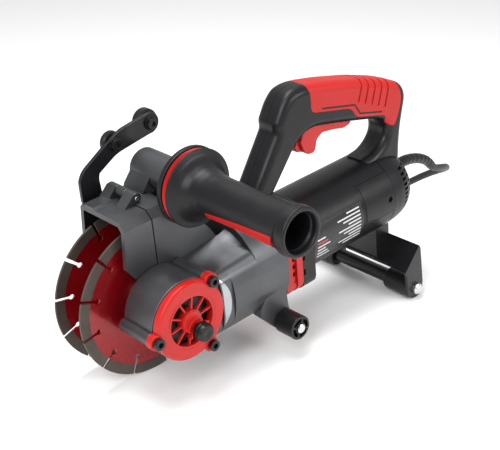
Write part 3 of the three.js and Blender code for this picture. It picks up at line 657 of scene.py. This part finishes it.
def gear_cover():
    rim, near, back = 37.5, -62, GEAR["near"] - GAP
    profile = [(0, back), (rim, back), (rim, near + 2.2), (rim - 2.2, near), (27, near), (25.4, near + 0.7),
               (0, near + 0.7)]
    body = turned(softened(profile, False, 1), sides=128)
    ears = [turned(softened(rod(7.2, -61, back), False, 0.8), *around(deg, BOLT_CIRCLE),
                   sides=48) for deg in BOLTS]
    hub = turned(softened(rod(9.6, near - 0.2, -58), False, 0.6), sides=64)
    collar = turned(softened(rod(10.4, near - 0.6, -58), False, 0.6), *LOCK, sides=64)
    body = join(body, *ears, hub, collar)
    spokes = [slab(cover_window(-46.5 + 36 * k), near - 2, back + 1) for k in range(1, 10)]
    holes = [turned(rod(2.3, -64, -50), *around(deg, BOLT_CIRCLE), sides=24) for deg in BOLTS]
    seats = [turned(rod(5.7, -64, -61), *around(deg, BOLT_CIRCLE), sides=48) for deg in BOLTS]
    trench = turned(tube(10.8, 23.6, near - 1, near + 2.2), sides=96)
    lock_side = turned(rod(11.2, near - 2, near + 4), *LOCK, sides=48)
    trench = cut(trench, lock_side)
    seat = turned(rod(8, -56.3, -50), sides=48)
    bore = turned(rod(5.3, -64, -57.2), *LOCK, sides=48)
    behind = cut(turned(tube(10.8, 23.6, near + 4.6, back + 1), sides=96),
                 turned(rod(11.2, -60, -50), *LOCK, sides=48))
    body = cut(body, trench, behind, *spokes, *holes, *seats, seat, bore)
    piece("gear_cover_moulding", body, RED, "gear_cover", bevel=0.35, sharp=30)


def socket_head(radius, top, base, socket):
    """Cap screw head whose face looks to -Y, with a hexagon socket."""
    head = turned(softened(rod(radius, top, base), False, 0.7), sides=48)
    return cut(head, slab(circle(socket, sides=6), top - 1, top + 2.6))


def cover_screws():
    for k, deg in enumerate(BOLTS):
        x, z = around(deg, BOLT_CIRCLE)
        screw = join(socket_head(5.2, -66, -61.3, 2.9), turned(rod(2, -62, -44), sides=24))
        screw.data.transform(Matrix.Translation((x, 0, z)))
        piece(f"cap_screw_{k + 1}", screw, BLACK_STEEL, f"cover_screw_{k + 1}")


def lock_button():
    profile = [(0, -75.2), (3, -75.4), (3.6, -76), (6.9, -76), (7.9, -75), (7.9, -73.2), (8.6, -72.6),
               (8.6, -71.4),
               (7.9, -70.8), (7.9, -69.8), (8.6, -69.2), (8.6, -66.6), (8, -66), (5, -66), (5, -60.6),
               (0, -60.6)]
    piece("lock_knob", turned(profile, *LOCK, sides=72), RUBBER, "lock_button", sharp=50)


# ---- blade guard ----
GUARD = {"near": -14, "far": 50, "wall": 3, "top": 89, "seam": 5.5, "front": -24, "radius": 82}
KNUCKLES = ((8, 20.4), (33.6, 46.5))
HINGE = {"x": 8, "z": 94.4, "radius": 5, "pin": 2.2}
SIDE_HANDLE = {"x": 47, "z": 101, "boss": 17, "flange": 36}
ARM = {"near": 56, "far": 60, "hub": 11, "pivot": (16, 58)}


def guard_section(inset, x0, x1):
    """The guard across the tool: its roof meets the near wall in a broad bevel."""
    near, far, top = GUARD["near"] + inset, GUARD["far"] - inset, GUARD["top"] - inset
    near_bevel, far_bevel = 7 - 0.6 * inset, 2.5 - 0.3 * inset
    return bar([(near, -60), (far, -60), (far, top - far_bevel), (far - far_bevel, top),
                (near + near_bevel, top),
                (near, top - near_bevel)], x0, x1)


def paint_guard_shade(target):
    """Paints shade inside a guard: the faces that line its hollow get a near-black dull material that stands
    for the shadow there.
    """
    near, far, wall, top, seam, _, radius = GUARD.values()
    target.data.materials.append(PAINTED_SHADE_LINING)
    to_tool = TOOL.inverted()
    for face in target.data.polygons:
        x, y, z = to_tool @ face.center
        between = near + wall - 0.4 < y < far - wall + 0.4 and z < top - wall + 0.4 and y - near + top - z > 9
        under = x < seam or math.hypot(x, z) < radius - wall + 0.4
        edge = abs((to_tool.to_3x3() @ face.normal).normalized().x) > 0.6
        if between and under and not edge:
            face.material_index = 1


def main_guard():
    near, far, wall, top, seam = (GUARD[key] for key in ("near", "far", "wall", "top", "seam"))
    inner = GUARD["radius"] - wall
    side = [(seam, top), (28, top)] + arc(0, 0, GUARD["radius"], 62, -14, 40) + [(seam, -20)]
    shell = common(slab(side, near - 1, far + 1), guard_section(0, 0, 100))
    lip = common(slab([(seam, top + 1), (seam + 2.6, top + 1), (seam + 2.6, 36), (seam, 36)], near - 1,
                      far + 1),
                 guard_section(-0.9, 0, 20))
    hollow = common(slab([(seam - 1, top), (25, top)] + arc(0, 0, inner, 62, -14, 40)
                         + [(inner - 2, -40), (seam - 1, -40)], near, far), guard_section(wall, 0, 100))
    x, z, boss = SIDE_HANDLE["x"], SIDE_HANDLE["z"], SIDE_HANDLE["boss"]
    pillar = slab([(22, top - 1), (30.2, 104), (34, 112), (58, 113), (64, 101), (70, 60), (50, 60),
                   (40, top - 2.5)],
                  10, 50)
    pillar = common(pillar, bar([(14, 113), (21, top - 6), (28, 55), (46, 55), (48, 92), (43.5, 106),
                                 (43.5, 113)],
                                20, 72))
    px, pz = ARM["pivot"]
    boss_rod = turned(softened(rod(boss, -17, 46), False, 1), x, z, 96)
    arm_boss = turned(softened(rod(9, far - 1, ARM["near"] - GAP), False, 0.8), px, pz, 48)
    knuckle_foot = slab([(seam, top - 1), (seam, 93), (10, 98), (15, top - 1)], 20.8, 33.2)
    knuckle = turned(softened(rod(HINGE["radius"], 20.8, 33.2), False, 0.8), HINGE["x"], HINGE["z"], 48)
    body = join(shell, lip, pillar, boss_rod, arm_boss, knuckle_foot, knuckle)
    body = cut(body, hollow, turned(rod(24, near - 2, near + wall + 1), sides=96),
               turned(rod(27, far - wall - 1, far + 1), sides=96), turned(rod(6.4, -18, 22), x, z, 48),
               turned(rod(HINGE["pin"] + GAP, 20, 34), HINGE["x"], HINGE["z"], 32),
               turned(rod(4.4, far - wall - 1, ARM["near"]), px, pz, 32))
    # The inner faces of the main guard get painted shade.
    paint_guard_shade(piece("main_guard_casting", body, MAGNESIUM, "main_guard", bevel=0.8, sharp=34))


def front_guard():
    near, far, wall, top, front = (GUARD[key] for key in ("near", "far", "wall", "top", "front"))
    back = GUARD["seam"] - 0.7
    side = [(front, top), (back, top), (back, 38), (-19.5, 33.5), (-28, 46)]
    shell = common(slab(side, near - 1, far + 1), guard_section(0, -40, 20))
    hollow = common(slab([(front - 6, top), (back + 1, top), (back + 1, 20), (front - 6, 20)], near, far),
                    guard_section(wall + 1.5, -40, 20))
    channel = bar([(28, top - 1), (44, top - 1), (42, top + 2), (30, top + 2)], front, back - 8)
    flats = [slab([(back - 12, top - 1), (HINGE["x"] - 3, 99), (HINGE["x"], 96), (back, top - 1)], y0, y1)
             for y0, y1 in KNUCKLES]
    knuckles = [turned(softened(rod(HINGE["radius"], y0, y1), False, 0.8), HINGE["x"], HINGE["z"], 48)
                for y0, y1 in KNUCKLES]
    body = join(shell, channel, *flats, *knuckles)
    body = cut(body, hollow, turned(rod(HINGE["pin"] + GAP, 5, 50), HINGE["x"], HINGE["z"], 32))
    # The inner faces of the front guard get painted shade.
    paint_guard_shade(piece("front_guard_casting", body, MAGNESIUM, "front_guard", bevel=0.9, segments=3,
                        sharp=34))
    pin = turned(softened(rod(HINGE["pin"], 7.2, 47.2), False, 0.6), HINGE["x"], HINGE["z"], 32)
    piece("hinge_pin_turned", pin, STEEL, "hinge_pin")


# ---- folding roller arm ----
ARM_ROLLERS = ((26, 126.8, 10.5, 6.5), (67.3, 132.7, 12, 9.5))


def hex_head(radius, y0, y1):
    """A hexagon head with chamfered corners."""
    return common(slab(circle(radius, sides=6), y0, y1),
                  turned(softened(rod(radius, y0, y1), False, 0.9), sides=48))


def roller_arm():
    px, pz = ARM["pivot"]
    outline = (arc(px, pz, ARM["hub"], 60, -130, 24) + [(-13, 72), (-17, 84), (-17, 97)]
               + arc(3, 98, 20.5, 165, 118, 10)
               + [(24, 134), (35, 138)] + arc(66.8, 132.7, 10.2, 96, -96, 28) + [(31, 117.5), (24, 115.5)]
               + arc(19, 99, 15, 155, 190, 8) + [(5, 84), (9, 74)])
    plate = slab(softened(outline, True, 2.5, 4), ARM["near"], ARM["far"])
    holes = [turned(rod(4.3, 50, 66), x, z, 32) for x, z in ((px, pz), *((x, z) for x, z, *_ in ARM_ROLLERS))]
    piece("roller_arm_plate", cut(plate, *holes), BLACK_STEEL, "roller_arm", bevel=0.7, segments=3)
    for k, (x, z, radius, width) in enumerate(ARM_ROLLERS):
        inside, outside = ARM["far"] + GAP, ARM["far"] + GAP + width
        tyre = [(4.3, inside), (radius - 1.5, inside), (radius, inside + 1.5), (radius, outside - 1.5),
                (radius - 1.5, outside), (radius - 3.4, outside), (radius - 3.8, outside - 1),
                (6.4, outside - 1),
                (6, outside), (4.3, outside), (4.3, inside)]
        piece(f"guide_roller_{k + 1}", turned(tyre, x, z, 72), RUBBER, f"arm_roller_{k + 1}")
        shank = [(0, ARM["near"] - 1), (4, ARM["near"] - 1), (4, outside + 1.2), (3.2, outside + 2),
                 (0, outside + 2)]
        washer = turned(softened(rod(6.9, 54.7, ARM["near"] - GAP), False, 0.3), sides=48)
        bolt = join(hex_head(6.1, 51.5, 54.9), washer, turned(shank, sides=32))
        bolt = cut(bolt, slab(circle(2.7, sides=6), 50, 53.6))
        bolt.data.transform(Matrix.Translation((x, 0, z)))
        piece(f"guide_bolt_{k + 1}", bolt, BLACK_STEEL, f"arm_bolt_{k + 1}", bevel=0.2)
    pivot = join(turned(rod(4, 50.4, 61), sides=32), hex_head(8, ARM["far"] + GAP, 65))
    pivot.data.transform(Matrix.Translation((px, 0, pz)))
    piece("arm_pivot_hex", pivot, STEEL, "arm_pivot_bolt", bevel=0.2)


# ---- motor ----
MOTOR = {"radius": 41, "wall": 3.5, "front": 143.3, "back": 278.7}
PANEL = {"from": -14, "to": 47, "front": 233, "inner": 38.9}


def square(half, corner, steps=12):
    """Rounded square round the motor axis, as (y, z)."""
    flat = half - corner
    corners = ((1, 1, 0), (-1, 1, 90), (-1, -1, 180), (1, -1, 270))
    return [point for sy, sz, start in corners
            for point in arc(MOTOR_Y + sy * flat, sz * flat, corner, start, start + 90, steps)]


def sector(side, inner, outer, start, end, x0, x1, steps=28):
    """Part of a tube round the motor axis; side is -1 for the near flank and 1 for the far one."""
    rim = arc(0, 0, outer, start, end, steps) + arc(0, 0, inner, end, start, steps)
    return bar([(MOTOR_Y + side * a, b) for a, b in rim], x0, x1)


def baffle_ring():
    back = MOTOR["front"] - GAP
    front = BARREL_BACK + GAP
    body = join(bar(square(42, 14), front, front + 8), bar(square(39.5, 13), front + 7, front + 15),
                bar(square(42, 14), front + 14, back))
    lugs = [block(front + 7, front + 15, MOTOR_Y + sy * 34 - 6, MOTOR_Y + sy * 34 + 6, sz * 34 - 6,
                  sz * 34 + 6)
            for sy in (-1, 1) for sz in (-1, 1)]
    body = join(body, *(common(lug, bar(square(41.4, 14), front, back)) for lug in lugs))
    slots = [block(front + 8.6, front + 13.6, MOTOR_Y - 60, MOTOR_Y + 60, z, z + 4.4)
             for z in (-21, -13, -5, 3, 11, 19)]
    upright = [block(front + 8.6, front + 13.6, MOTOR_Y + y, MOTOR_Y + y + 4.4, -60, 60)
               for y in (-18, -10, -2, 6, 14)]
    core = turned_x(rod(24, front - 1, back + 1))
    vents = [cut(slot, copy_of(core)) for slot in (*slots, *upright)]
    bpy.data.objects.remove(core)
    body = cut(body, turned_x(rod(37, 131, back + 1)), turned_x(rod(11.3, 120, 132)), *vents)
    piece("baffle_moulding", body, RED, "baffle_ring", bevel=0.5)


def motor_housing():
    front, back, radius = MOTOR["front"], MOTOR["back"], MOTOR["radius"]
    flange_back = front + 16.5
    flange = bar(square(42, 12), front, flange_back)
    barrel_tube = turned_x(softened(rod(radius, front, back), False, 0.9), sides=160)
    lugs, heads = [], []
    for sy in (-1, 1):
        for sz in (-1, 1):
            y, z = MOTOR_Y + 33 * sy, 33 * sz
            lugs.append(turned_x(softened(rod(5.5, front + 3, flange_back + 4), False, 1), y, z, 40))
            heads.append(turned_x(rod(3.2, flange_back + 2.5, flange_back + 6), y, z, 32))
    notches = [block(front - 1, front + 3, MOTOR_Y - 45, MOTOR_Y - 40.5, z, z + 6) for z in (-24, -8, 8)]
    body = join(flange, barrel_tube, *lugs)
    inner = radius - MOTOR["wall"]
    recesses = [sector(side, PANEL["inner"] - GAP, 44, PANEL["from"] - 0.5, PANEL["to"] + 0.5,
                       PANEL["front"] - GAP,
                       back + 1) for side in (-1, 1)]
    body = cut(body, turned_x(rod(inner, front - 1, 260)), turned_x(rod(inner, 271, back + 1)),
               turned_x(rod(11.3, 259, 272)), *recesses, *heads, *notches)
    piece("motor_shell", body, PLASTIC, "motor_housing", bevel=0.6, segments=3, sharp=30)
    for k, (sy, sz) in enumerate(((-1, -1), (-1, 1), (1, -1), (1, 1))):
        screw = turned_x(softened(rod(2.9, flange_back - 2, flange_back + 3.4), False, 0.5),
                         MOTOR_Y + 33 * sy,
                         33 * sz, 32)
        cross = block(flange_back + 2.6, flange_back + 5, MOTOR_Y + 33 * sy - 0.5, MOTOR_Y + 33 * sy + 0.5,
                      33 * sz - 2, 33 * sz + 2)
        piece(f"flange_screw_{k + 1}", cut(screw, cross), BLACK_STEEL, body="tool")


def brush_covers():
    for where, side in (("near", -1), ("far", 1)):
        low, high, front, back = PANEL["from"], PANEL["to"], PANEL["front"], MOTOR["back"]
        panel = sector(side, PANEL["inner"], MOTOR["radius"], low, high, front, back)
        raised = sector(side, PANEL["inner"] + 1, MOTOR["radius"] + 0.5, low + 4, high - 4, front + 2.8,
                        back - 0.6)
        y0, y1 = sorted((MOTOR_Y + side * 30, MOTOR_Y + side * 50))
        panel = cut(join(panel, raised), turned(rod(3.1, y0, y1), 271.5, 5, 40))
        piece(f"brush_panel_{where}", panel, PLASTIC, f"brush_cover_{where}", bevel=0.45, sharp=30)
        deep = MOTOR_Y + side * (PANEL["inner"] + 0.2)
        y0, y1 = sorted((deep, deep - side * 0.8))
        screw = cut(turned(rod(2.9, y0 - 0.1, y1 + 0.1), 271.5, 5, 32),
                    block(269.5, 273.5, y0 - 1, y1 + 1, 4.6, 5.4))
        piece(f"brush_screw_{where}", screw, BLACK_STEEL, body="tool")


PLATE = {"front": 161.5, "back": 231, "low": -27, "high": 26, "rows": 9, "margin": 4}


def rating_plate():
    """A blank plate with rows of plain bars in place of print."""
    inner, outer = MOTOR["radius"] - 0.5, MOTOR["radius"] + 0.25
    front, back, low, high, rows, margin = PLATE.values()
    plate = sector(-1, inner, outer, low, high, front, back)
    piece("rating_plate", plate, LABEL, body="tool", bevel=0.15, sharp=30)
    pitch = (high - low) / (rows + 1)
    bars = []
    for row in range(rows):
        base = high - pitch * (row + 1.2)
        bars.append((back - margin - 18 - 7 * (row * 2 % 3), back - margin, base, INK))
        if row > 2:
            bars.append((front + margin, front + margin + 11 + 3 * (row % 3), base,
                         PLATE_RED if row == 4 else INK))
    for k, (start, end, base, ink) in enumerate(bars):
        shape = sector(-1, outer - 0.1, outer + 0.08, base, base + 0.38 * pitch, start, end, 3)
        piece(f"plate_bar_{k + 1}", shape, ink, body="tool")


# ---- rear cap ----
CAP = ((41, 279), (40.6, 290), (39.2, 299), (35.6, 308.5), (28, 317.5), (18, 324.5), (11, 328))
GLAND = {"z": 9, "radius": 9, "back": 330}


def rear_cap():
    rim = [(0, 279), (41, 279)]
    skin = softened([(41, 281), *CAP[1:], (0, 328)], False, 6, 6)
    body = turned_x(rim + skin, sides=160)
    gland = turned_x(softened(rod(GLAND["radius"], 312, GLAND["back"]), False, 1.2), MOTOR_Y, GLAND["z"], 64)
    body = join(body, gland)
    slots = []
    for x0, x1 in ((296.5, 303.5), (306, 311.5)):
        for k in range(9):
            z = -16 + 5 * k
            slots.append(block(x0, x1, MOTOR_Y - 45, MOTOR_Y - 18, z, z + 2.7))
            slots.append(block(x0, x1, MOTOR_Y + 18, MOTOR_Y + 45, z, z + 2.7))
    body = cut(body, turned_x([(0, 278), (37.5, 278), (37, 298), (22, 312), (0, 312)], sides=96),
               turned_x(rod(4.3, 306, 340), MOTOR_Y, GLAND["z"], 48), *slots)
    piece("rear_cap_shell", body, PLASTIC, "rear_cap", bevel=0.4, sharp=30)


# ---- D-handle ----
HANDLE_FOOT = 48.5
HANDLE_HALF = 16
HANDLE_ROUND = 9.0
SLOT = {"front": 172, "back": 260, "half": 8.5, "bottom": 70, "top": 108.9}
GRIP = [(187, 160), (189, 150), (191.5, 138), (191.5, 120.7), (246, 107), (252.5, 95.5), (296, 82.5),
        (297, 73),
        (308, 66), (314, 76), (320, 92), (317.5, 106), (311, 124), (298, 140)]
GROOVE = [(205.6, 120.6), (250.7, 109.1), (258.1, 97.6), (290, 88.6)]


def handle_outline():
    """Seen from the side; both legs run on below the surfaces that they stand on."""
    front = [(90.2, 30), (148.5, 114), (147.5, 122), (157, 138), (168, 148), (182, 149.5), (196, 147.5),
             (222, 142),
             (262, 131.5), (300, 118.5), *arc(309.5, 92.5, 20, 60, -18, 5), (323, 66), (320, 48), (318, 22)]
    under = [(264, 42.5), (281, 44.5), (291, 50), (298, 58), (299, 68), (294, 76.5), (281, 82), (232, 95),
             (200, 102.5), (186, 102), (172, 94), (116.8, 30)]
    return softened(front, False, 8, 5) + [(264, 22)] + softened(under, False, 8, 5)


def handle_solid(inset):
    half = HANDLE_HALF - inset
    return pillow(handle_outline(), MOTOR_Y - half, MOTOR_Y + half, HANDLE_ROUND - inset, 9, -inset)


def ribbon(points, width):
    """Outline of a band along a line, with mitred corners."""
    left, right = [], []
    for i, here in enumerate(points):
        before, after = Vector(points[max(i - 1, 0)]), Vector(points[min(i + 1, len(points) - 1)])
        here = Vector(here)
        normals = [Vector((-d.y, d.x)).normalized() for d in (here - before, after - here) if d.length > 0]
        middle = sum(normals, Vector((0, 0))).normalized()
        reach = width / 2 / max(0.5, middle.dot(normals[0]))
        left.append(tuple(here + middle * reach))
        right.append(tuple(here - middle * reach))
    return left + right[::-1]


def motor_clearance():
    radius = MOTOR["radius"] + GAP
    skin = [(0, 255), (radius, 255), *((r + GAP, x) for r, x in CAP[1:]), (0, 328 + GAP)]
    return [turned_x(skin, sides=96), turned_x(rod(radius, 130, 290), sides=96),
            block(70, 175, -60, 40, 0, HANDLE_FOOT)]


def handle_screws():
    """Adds the screws on the far side and returns the tools that cut their seats."""
    face = MOTOR_Y + HANDLE_HALF
    seats = []
    for k, (x, z) in enumerate(((140, 90), (160, 124), (196, 111.5), (306, 58))):
        seats.append(turned(rod(3.4, face - 2.5, face + 1), x, z, 32))
        slot = block(x - 2.2, x + 2.2, face - 2.2, face, z - 0.4, z + 0.4)
        piece(f"handle_screw_{k + 1}", cut(turned(rod(3, face - 4, face - 1.6), x, z, 32), slot),
              BLACK_STEEL, body="tool")
    return seats


def handle():
    lowest, highest = MOTOR_Y - 30, MOTOR_Y + 30
    region = softened(GRIP, True, 6, 5)
    full = handle_solid(0)
    grip = cut(common(copy_of(full), slab(region, lowest, highest)), handle_solid(1.7))
    body = join(cut(full, slab(shrunk(region, -GAP), lowest, highest)),
                common(handle_solid(2), slab(shrunk(region, -1), lowest, highest)))
    half = SLOT["half"]
    body = cut(body, *motor_clearance(),
               slab([(SLOT["front"], SLOT["bottom"]), (SLOT["back"], SLOT["bottom"]),
                     (SLOT["back"], SLOT["top"]),
                     (SLOT["front"], SLOT["top"])], MOTOR_Y - half, MOTOR_Y + half),
               block(205, 249, MOTOR_Y - 10.5, MOTOR_Y + 10.5, 108, 122))
    for where, y0, y1 in (("near", -60, MOTOR_Y - GAP / 2), ("far", MOTOR_Y + GAP / 2, 40)):
        shell = common(copy_of(body), block(90, 345, y0, y1, 0, 170))
        if where == "far":
            shell = cut(shell, *handle_screws())
        piece(f"handle_shell_{where}", shell, PLASTIC, f"handle_{where}", bevel=0.3, sharp=34)
    bpy.data.objects.remove(body)
    ribs = []
    for k in range(5):
        low, high = (256 + 9.6 * k, 110 - 4.4 * k), (266.5 + 9.6 * k, 139 - 3.4 * k)
        ribs.append(slab(ribbon([low, high], 2.6), lowest, highest))
    for side in (-1, 1):
        face = MOTOR_Y + side * HANDLE_HALF
        ribs.append(slab(ribbon(GROOVE, 1.9), *sorted((face + side, face - side * 0.9))))
        ink = slab(ribbon(GROOVE, 1.8), *sorted((face - side * 0.35, face - side * 1.3)))
        piece(f"grip_line_{'near' if side < 0 else 'far'}", ink, PLASTIC, body="tool")
    tools = [cut(rib, handle_solid(1.0)) for rib in ribs[:5]] + ribs[5:]
    piece("grip_moulding", cut(grip, *tools), GRIP_RED, "grip_sleeve", bevel=0.25, sharp=34)


def trigger():
    outline = ([(187, 101.5), (183, 90.5), (187, 79.5), (193, 75), (201, 74.5), (203.5, 79.5), (205, 86.5),
                (213, 91),
                (229, 88.5), (243, 85), (253, 86.5)] + arc(252, 99.5, 5, -70, 90, 8) + [(229, 103.7)])
    body = pillow(softened(outline, True, 2.6, 4), MOTOR_Y - 8, MOTOR_Y + 8, 1.6)
    seat = block(177, 190.5, MOTOR_Y - 4.3, MOTOR_Y + 4.3, 76.5, 97)
    piece("trigger_moulding", cut(body, seat), RED, "trigger", bevel=0.2)
    tab = softened([(190.2, 78.5), (190.2, 92.5), (183, 93.5), (178.5, 86.5), (181, 80.5)], True, 1.6, 4)
    piece("lock_tab_moulding", pillow(tab, MOTOR_Y - 4, MOTOR_Y + 4, 0.9), RED, "lock_tab")


# ---- side handle ----
GRIP_PROFILE = softened([(6.5, -28.4), (34, -28.4), (36, -29.2), (36, -31), (30, -33), (25.5, -37), (22, -43),
                         (20, -51), (19.3, -62), (18.7, -100), (19.6, -138), (20.4, -144), (22, -147),
                         (22, -155.6),
                         (20.8, -157), (18.6, -157), (17.6, -155), (17.2, -151.5), (16, -150), (15.6, -121),
                         (6.5, -121)], True, 2.2, 5)


def grip_radius(y):
    """Outer radius of the side handle's grip at a place along it."""
    outer = [point for point in GRIP_PROFILE if point[0] > 18.3 and -150 < point[1] < -40]
    near = min(range(len(outer) - 1), key=lambda i: abs(outer[i][1] + outer[i + 1][1] - 2 * y))
    (r0, y0), (r1, y1) = outer[near], outer[near + 1]
    return r0 + (r1 - r0) * (y - y0) / (y1 - y0)


def side_handle():
    x, z, flange = SIDE_HANDLE["x"], SIDE_HANDLE["z"], SIDE_HANDLE["flange"]
    piece("side_grip", turned(GRIP_PROFILE + GRIP_PROFILE[:1], x, z, 128), SOFT_GRIP, "side_handle_grip",
          sharp=60)
    plate = softened([(6.5, -22.4), (flange, -22.4), (flange, -17.4), (6.5, -17.4)], True, 1.4)
    piece("side_plate", turned(plate + plate[:1], x, z, 96), PLASTIC, "side_handle_plate")
    ring = [(6.5, -28), (flange - 2.6, -28), (flange - 1.5, -27.2), (flange - 4.5, -25.4),
            (flange - 1.5, -23.6),
            (flange - 2.6, -22.8), (6.5, -22.8), (6.5, -28)]
    piece("side_ring", turned(ring, x, z, 96), RED, "side_handle_ring", sharp=20)
    stud = turned(softened(rod(6, -112, 20), False, 0.6), x, z, 48)
    piece("side_stud", stud, STEEL, "side_handle_stud")
    piece("side_inlay", inlay(x, z), GRIP_RED, body="tool", sharp=50)


def inlay(x, z):
    """Red strip let into the grip: pointed towards the flange, and cut off at a slant at the open end."""
    steps, across, start, end = 44, 20, -58.5, -142
    rings = []
    for i in range(steps + 1):
        t = i / steps
        low, high = 226 + 24 * min(1.0, t * 1.6), 202 - 22 * t ** 0.8
        ring = []
        for lift, order in ((0.3, range(across + 1)), (-0.6, range(across, -1, -1))):
            for k in order:
                share = k / across
                y = start + (end - start) * t + 7 * (1 - share) * t
                a = math.radians(low + (high - low) * share)
                radius = grip_radius(y) + lift
                ring.append((x + radius * math.cos(a), y, z + radius * math.sin(a)))
        rings.append(ring)
    return mesh_object("inlay", *stacked(rings))


# ---- rollers under the tool ----
REAR = {"x": 277, "z": -92, "radius": 11.8, "near": -80, "far": 61, "plate": 3.2, "bore": 4.4}


def foot_roller():
    x, z, radius, near, far = (FOOT[key] for key in ("x", "z", "radius", "near", "far"))
    profile = softened([(4.3, near), (radius, near), (radius, far), (4.3, far)], True, 1)
    body = turned(profile + profile[:1], x, z, 96)
    dish = turned(tube(6, radius - 2.4, near - 1, near + 3.6), x, z, 72)
    for k in range(4):
        arm = block(-radius, radius, near - 2, near + 5, -1, 1)
        arm.data.transform(Matrix.Translation((x, 0, z)) @ Matrix.Rotation(math.radians(22 + 45 * k), 4, "Y"))
        if k % 2:
            bpy.data.objects.remove(arm)
        else:
            dish = cut(dish, arm)
    piece("foot_wheel_moulded", cut(body, dish), RUBBER, "foot_roller", bevel=0.25)
    head = near - GAP
    bolt = [(0, head - 2), (3.6, head - 2), (4.6, head - 1.2), (4.6, head), (4, head), (4, -45), (0, -45)]
    piece("foot_bolt_turned", turned(bolt, x, z, 48), STEEL, "foot_bolt")


def rear_bracket():
    x, z, radius, near, far, plate, bore = (
        REAR[key] for key in ("x", "z", "radius", "near", "far", "plate", "bore"))
    fold = [(283.5, -44), (285.5, -47)]
    lip = (261.5, -67.5)
    ear = softened([*fold, (288.6, -90), *arc(x, z, radius - 0.6, 5, -175, 20), (263.5, -72), lip], True,
                   1.6, 4)
    web = [*fold, (266, -70.5), lip]
    post = [(264, -28), (264, -66.5), (283.5, -46), (283.5, -28)]
    body = join(slab(ear, near, near + plate), slab(ear, far - plate, far), slab(web, near + 0.5, far - 0.5),
                slab(post, MOTOR_Y - 27, MOTOR_Y + 27))
    body = cut(body, turned_x(rod(MOTOR["radius"] + GAP, 250, 300), sides=96),
               turned(rod(bore, near - 1, far + 1), x, z, 48))
    piece("rear_bracket_pressing", body, BLACK_STEEL, "rear_bracket", bevel=0.9, segments=3)


def rear_axle():
    x, z, radius, near, far, plate, bore = (
        REAR[key] for key in ("x", "z", "radius", "near", "far", "plate", "bore"))
    spacer = (-45.3, 27.7)
    pin = bore - GAP
    axle = [(0, near - 4.5), (4.6, near - 4.5), (6, near - 3.4), (6, near - GAP), (pin, near - GAP),
            (pin, far + GAP), (6, far + GAP), (6, far + 3.4), (4.6, far + 4.5), (0, far + 4.5)]
    piece("rear_axle_turned", turned(axle, x, z, 64), STEEL, "rear_axle")
    rings = (("rear_spacer", 7.5, *spacer), ("rear_roller_near", radius, near + plate + GAP, spacer[0] - GAP),
             ("rear_roller_far", radius, spacer[1] + GAP, far - plate - GAP))
    for name, outer, start, end in rings:
        profile = softened([(bore, start), (outer, start), (outer, end), (bore, end)], True, 1.2)
        material = BLACK_STEEL if name == "rear_spacer" else RUBBER
        piece(name + "_turned", turned(profile + profile[:1], x, z, 96), material, name)


for build in (spindle_parts, bevel_gear, gear_case, gear_cover, cover_screws, lock_button, main_guard,
              front_guard, roller_arm, baffle_ring, motor_housing, brush_covers, rating_plate, rear_cap,
              handle, trigger, side_handle, foot_roller, rear_bracket, rear_axle):
    build()


# ---- floor and light ----
def add_floor():
    mesh = bpy.data.meshes.new("floor")
    size = 6
    mesh.from_pydata([(-size, -size, 0), (size, -size, 0), (size, size, 0), (-size, size, 0)], [],
                     [(0, 1, 2, 3)])
    floor = bpy.data.objects.new("floor", mesh)
    bpy.context.scene.collection.objects.link(floor)
    floor.location.z = min(cad_box[0][2], 0) - 0.0002
    made = bpy.data.materials.new("floor")
    made.use_nodes = True
    shader = made.node_tree.nodes["Principled BSDF"]
    shader.inputs["Base Color"].default_value = (0.92, 0.92, 0.92, 1)
    shader.inputs["Roughness"].default_value = 0.7
    floor.data.materials.append(made)


def add_light(name, place, aim, size, power, colour=(1, 1, 1)):
    data = bpy.data.lights.new(name, "AREA")
    data.shape = "RECTANGLE"
    data.size, data.size_y = size
    data.energy = power
    data.color = colour
    light = bpy.data.objects.new(name, data)
    bpy.context.scene.collection.objects.link(light)
    light.location = place
    light.rotation_euler = (Vector(aim) - Vector(place)).to_track_quat("-Z", "Y").to_euler()


def add_world():
    bpy.context.scene.view_settings.view_transform = "Standard"
    world = bpy.data.worlds.new("studio")
    world.use_nodes = True
    world.node_tree.nodes["Background"].inputs["Color"].default_value = (1, 1, 1, 1)
    world.node_tree.nodes["Background"].inputs["Strength"].default_value = 0.62
    bpy.context.scene.world = world


add_floor()
add_world()
AIM = (0, 0, 0.1)
add_light("overhead", (-0.1, 0.25, 1.5), AIM, (1.2, 0.5), 19)
add_light("key", (-1.1, -0.5, 1.0), AIM, (0.35, 0.9), 11)
add_light("side", (0.5, -1.2, 0.75), AIM, (0.9, 0.3), 9)

# CAD nodes that are shown as they are get their slot's finish and softened edges.
for node_name, node in frame["nodes"].items():
    node.data.materials.clear()
    node.data.materials.append(SLOTS[NODE_SLOT[node_name]])
    node.data.shade_smooth()
    node.data.set_sharp_from_angle(angle=math.radians(32))

bpy.context.view_layer.update()
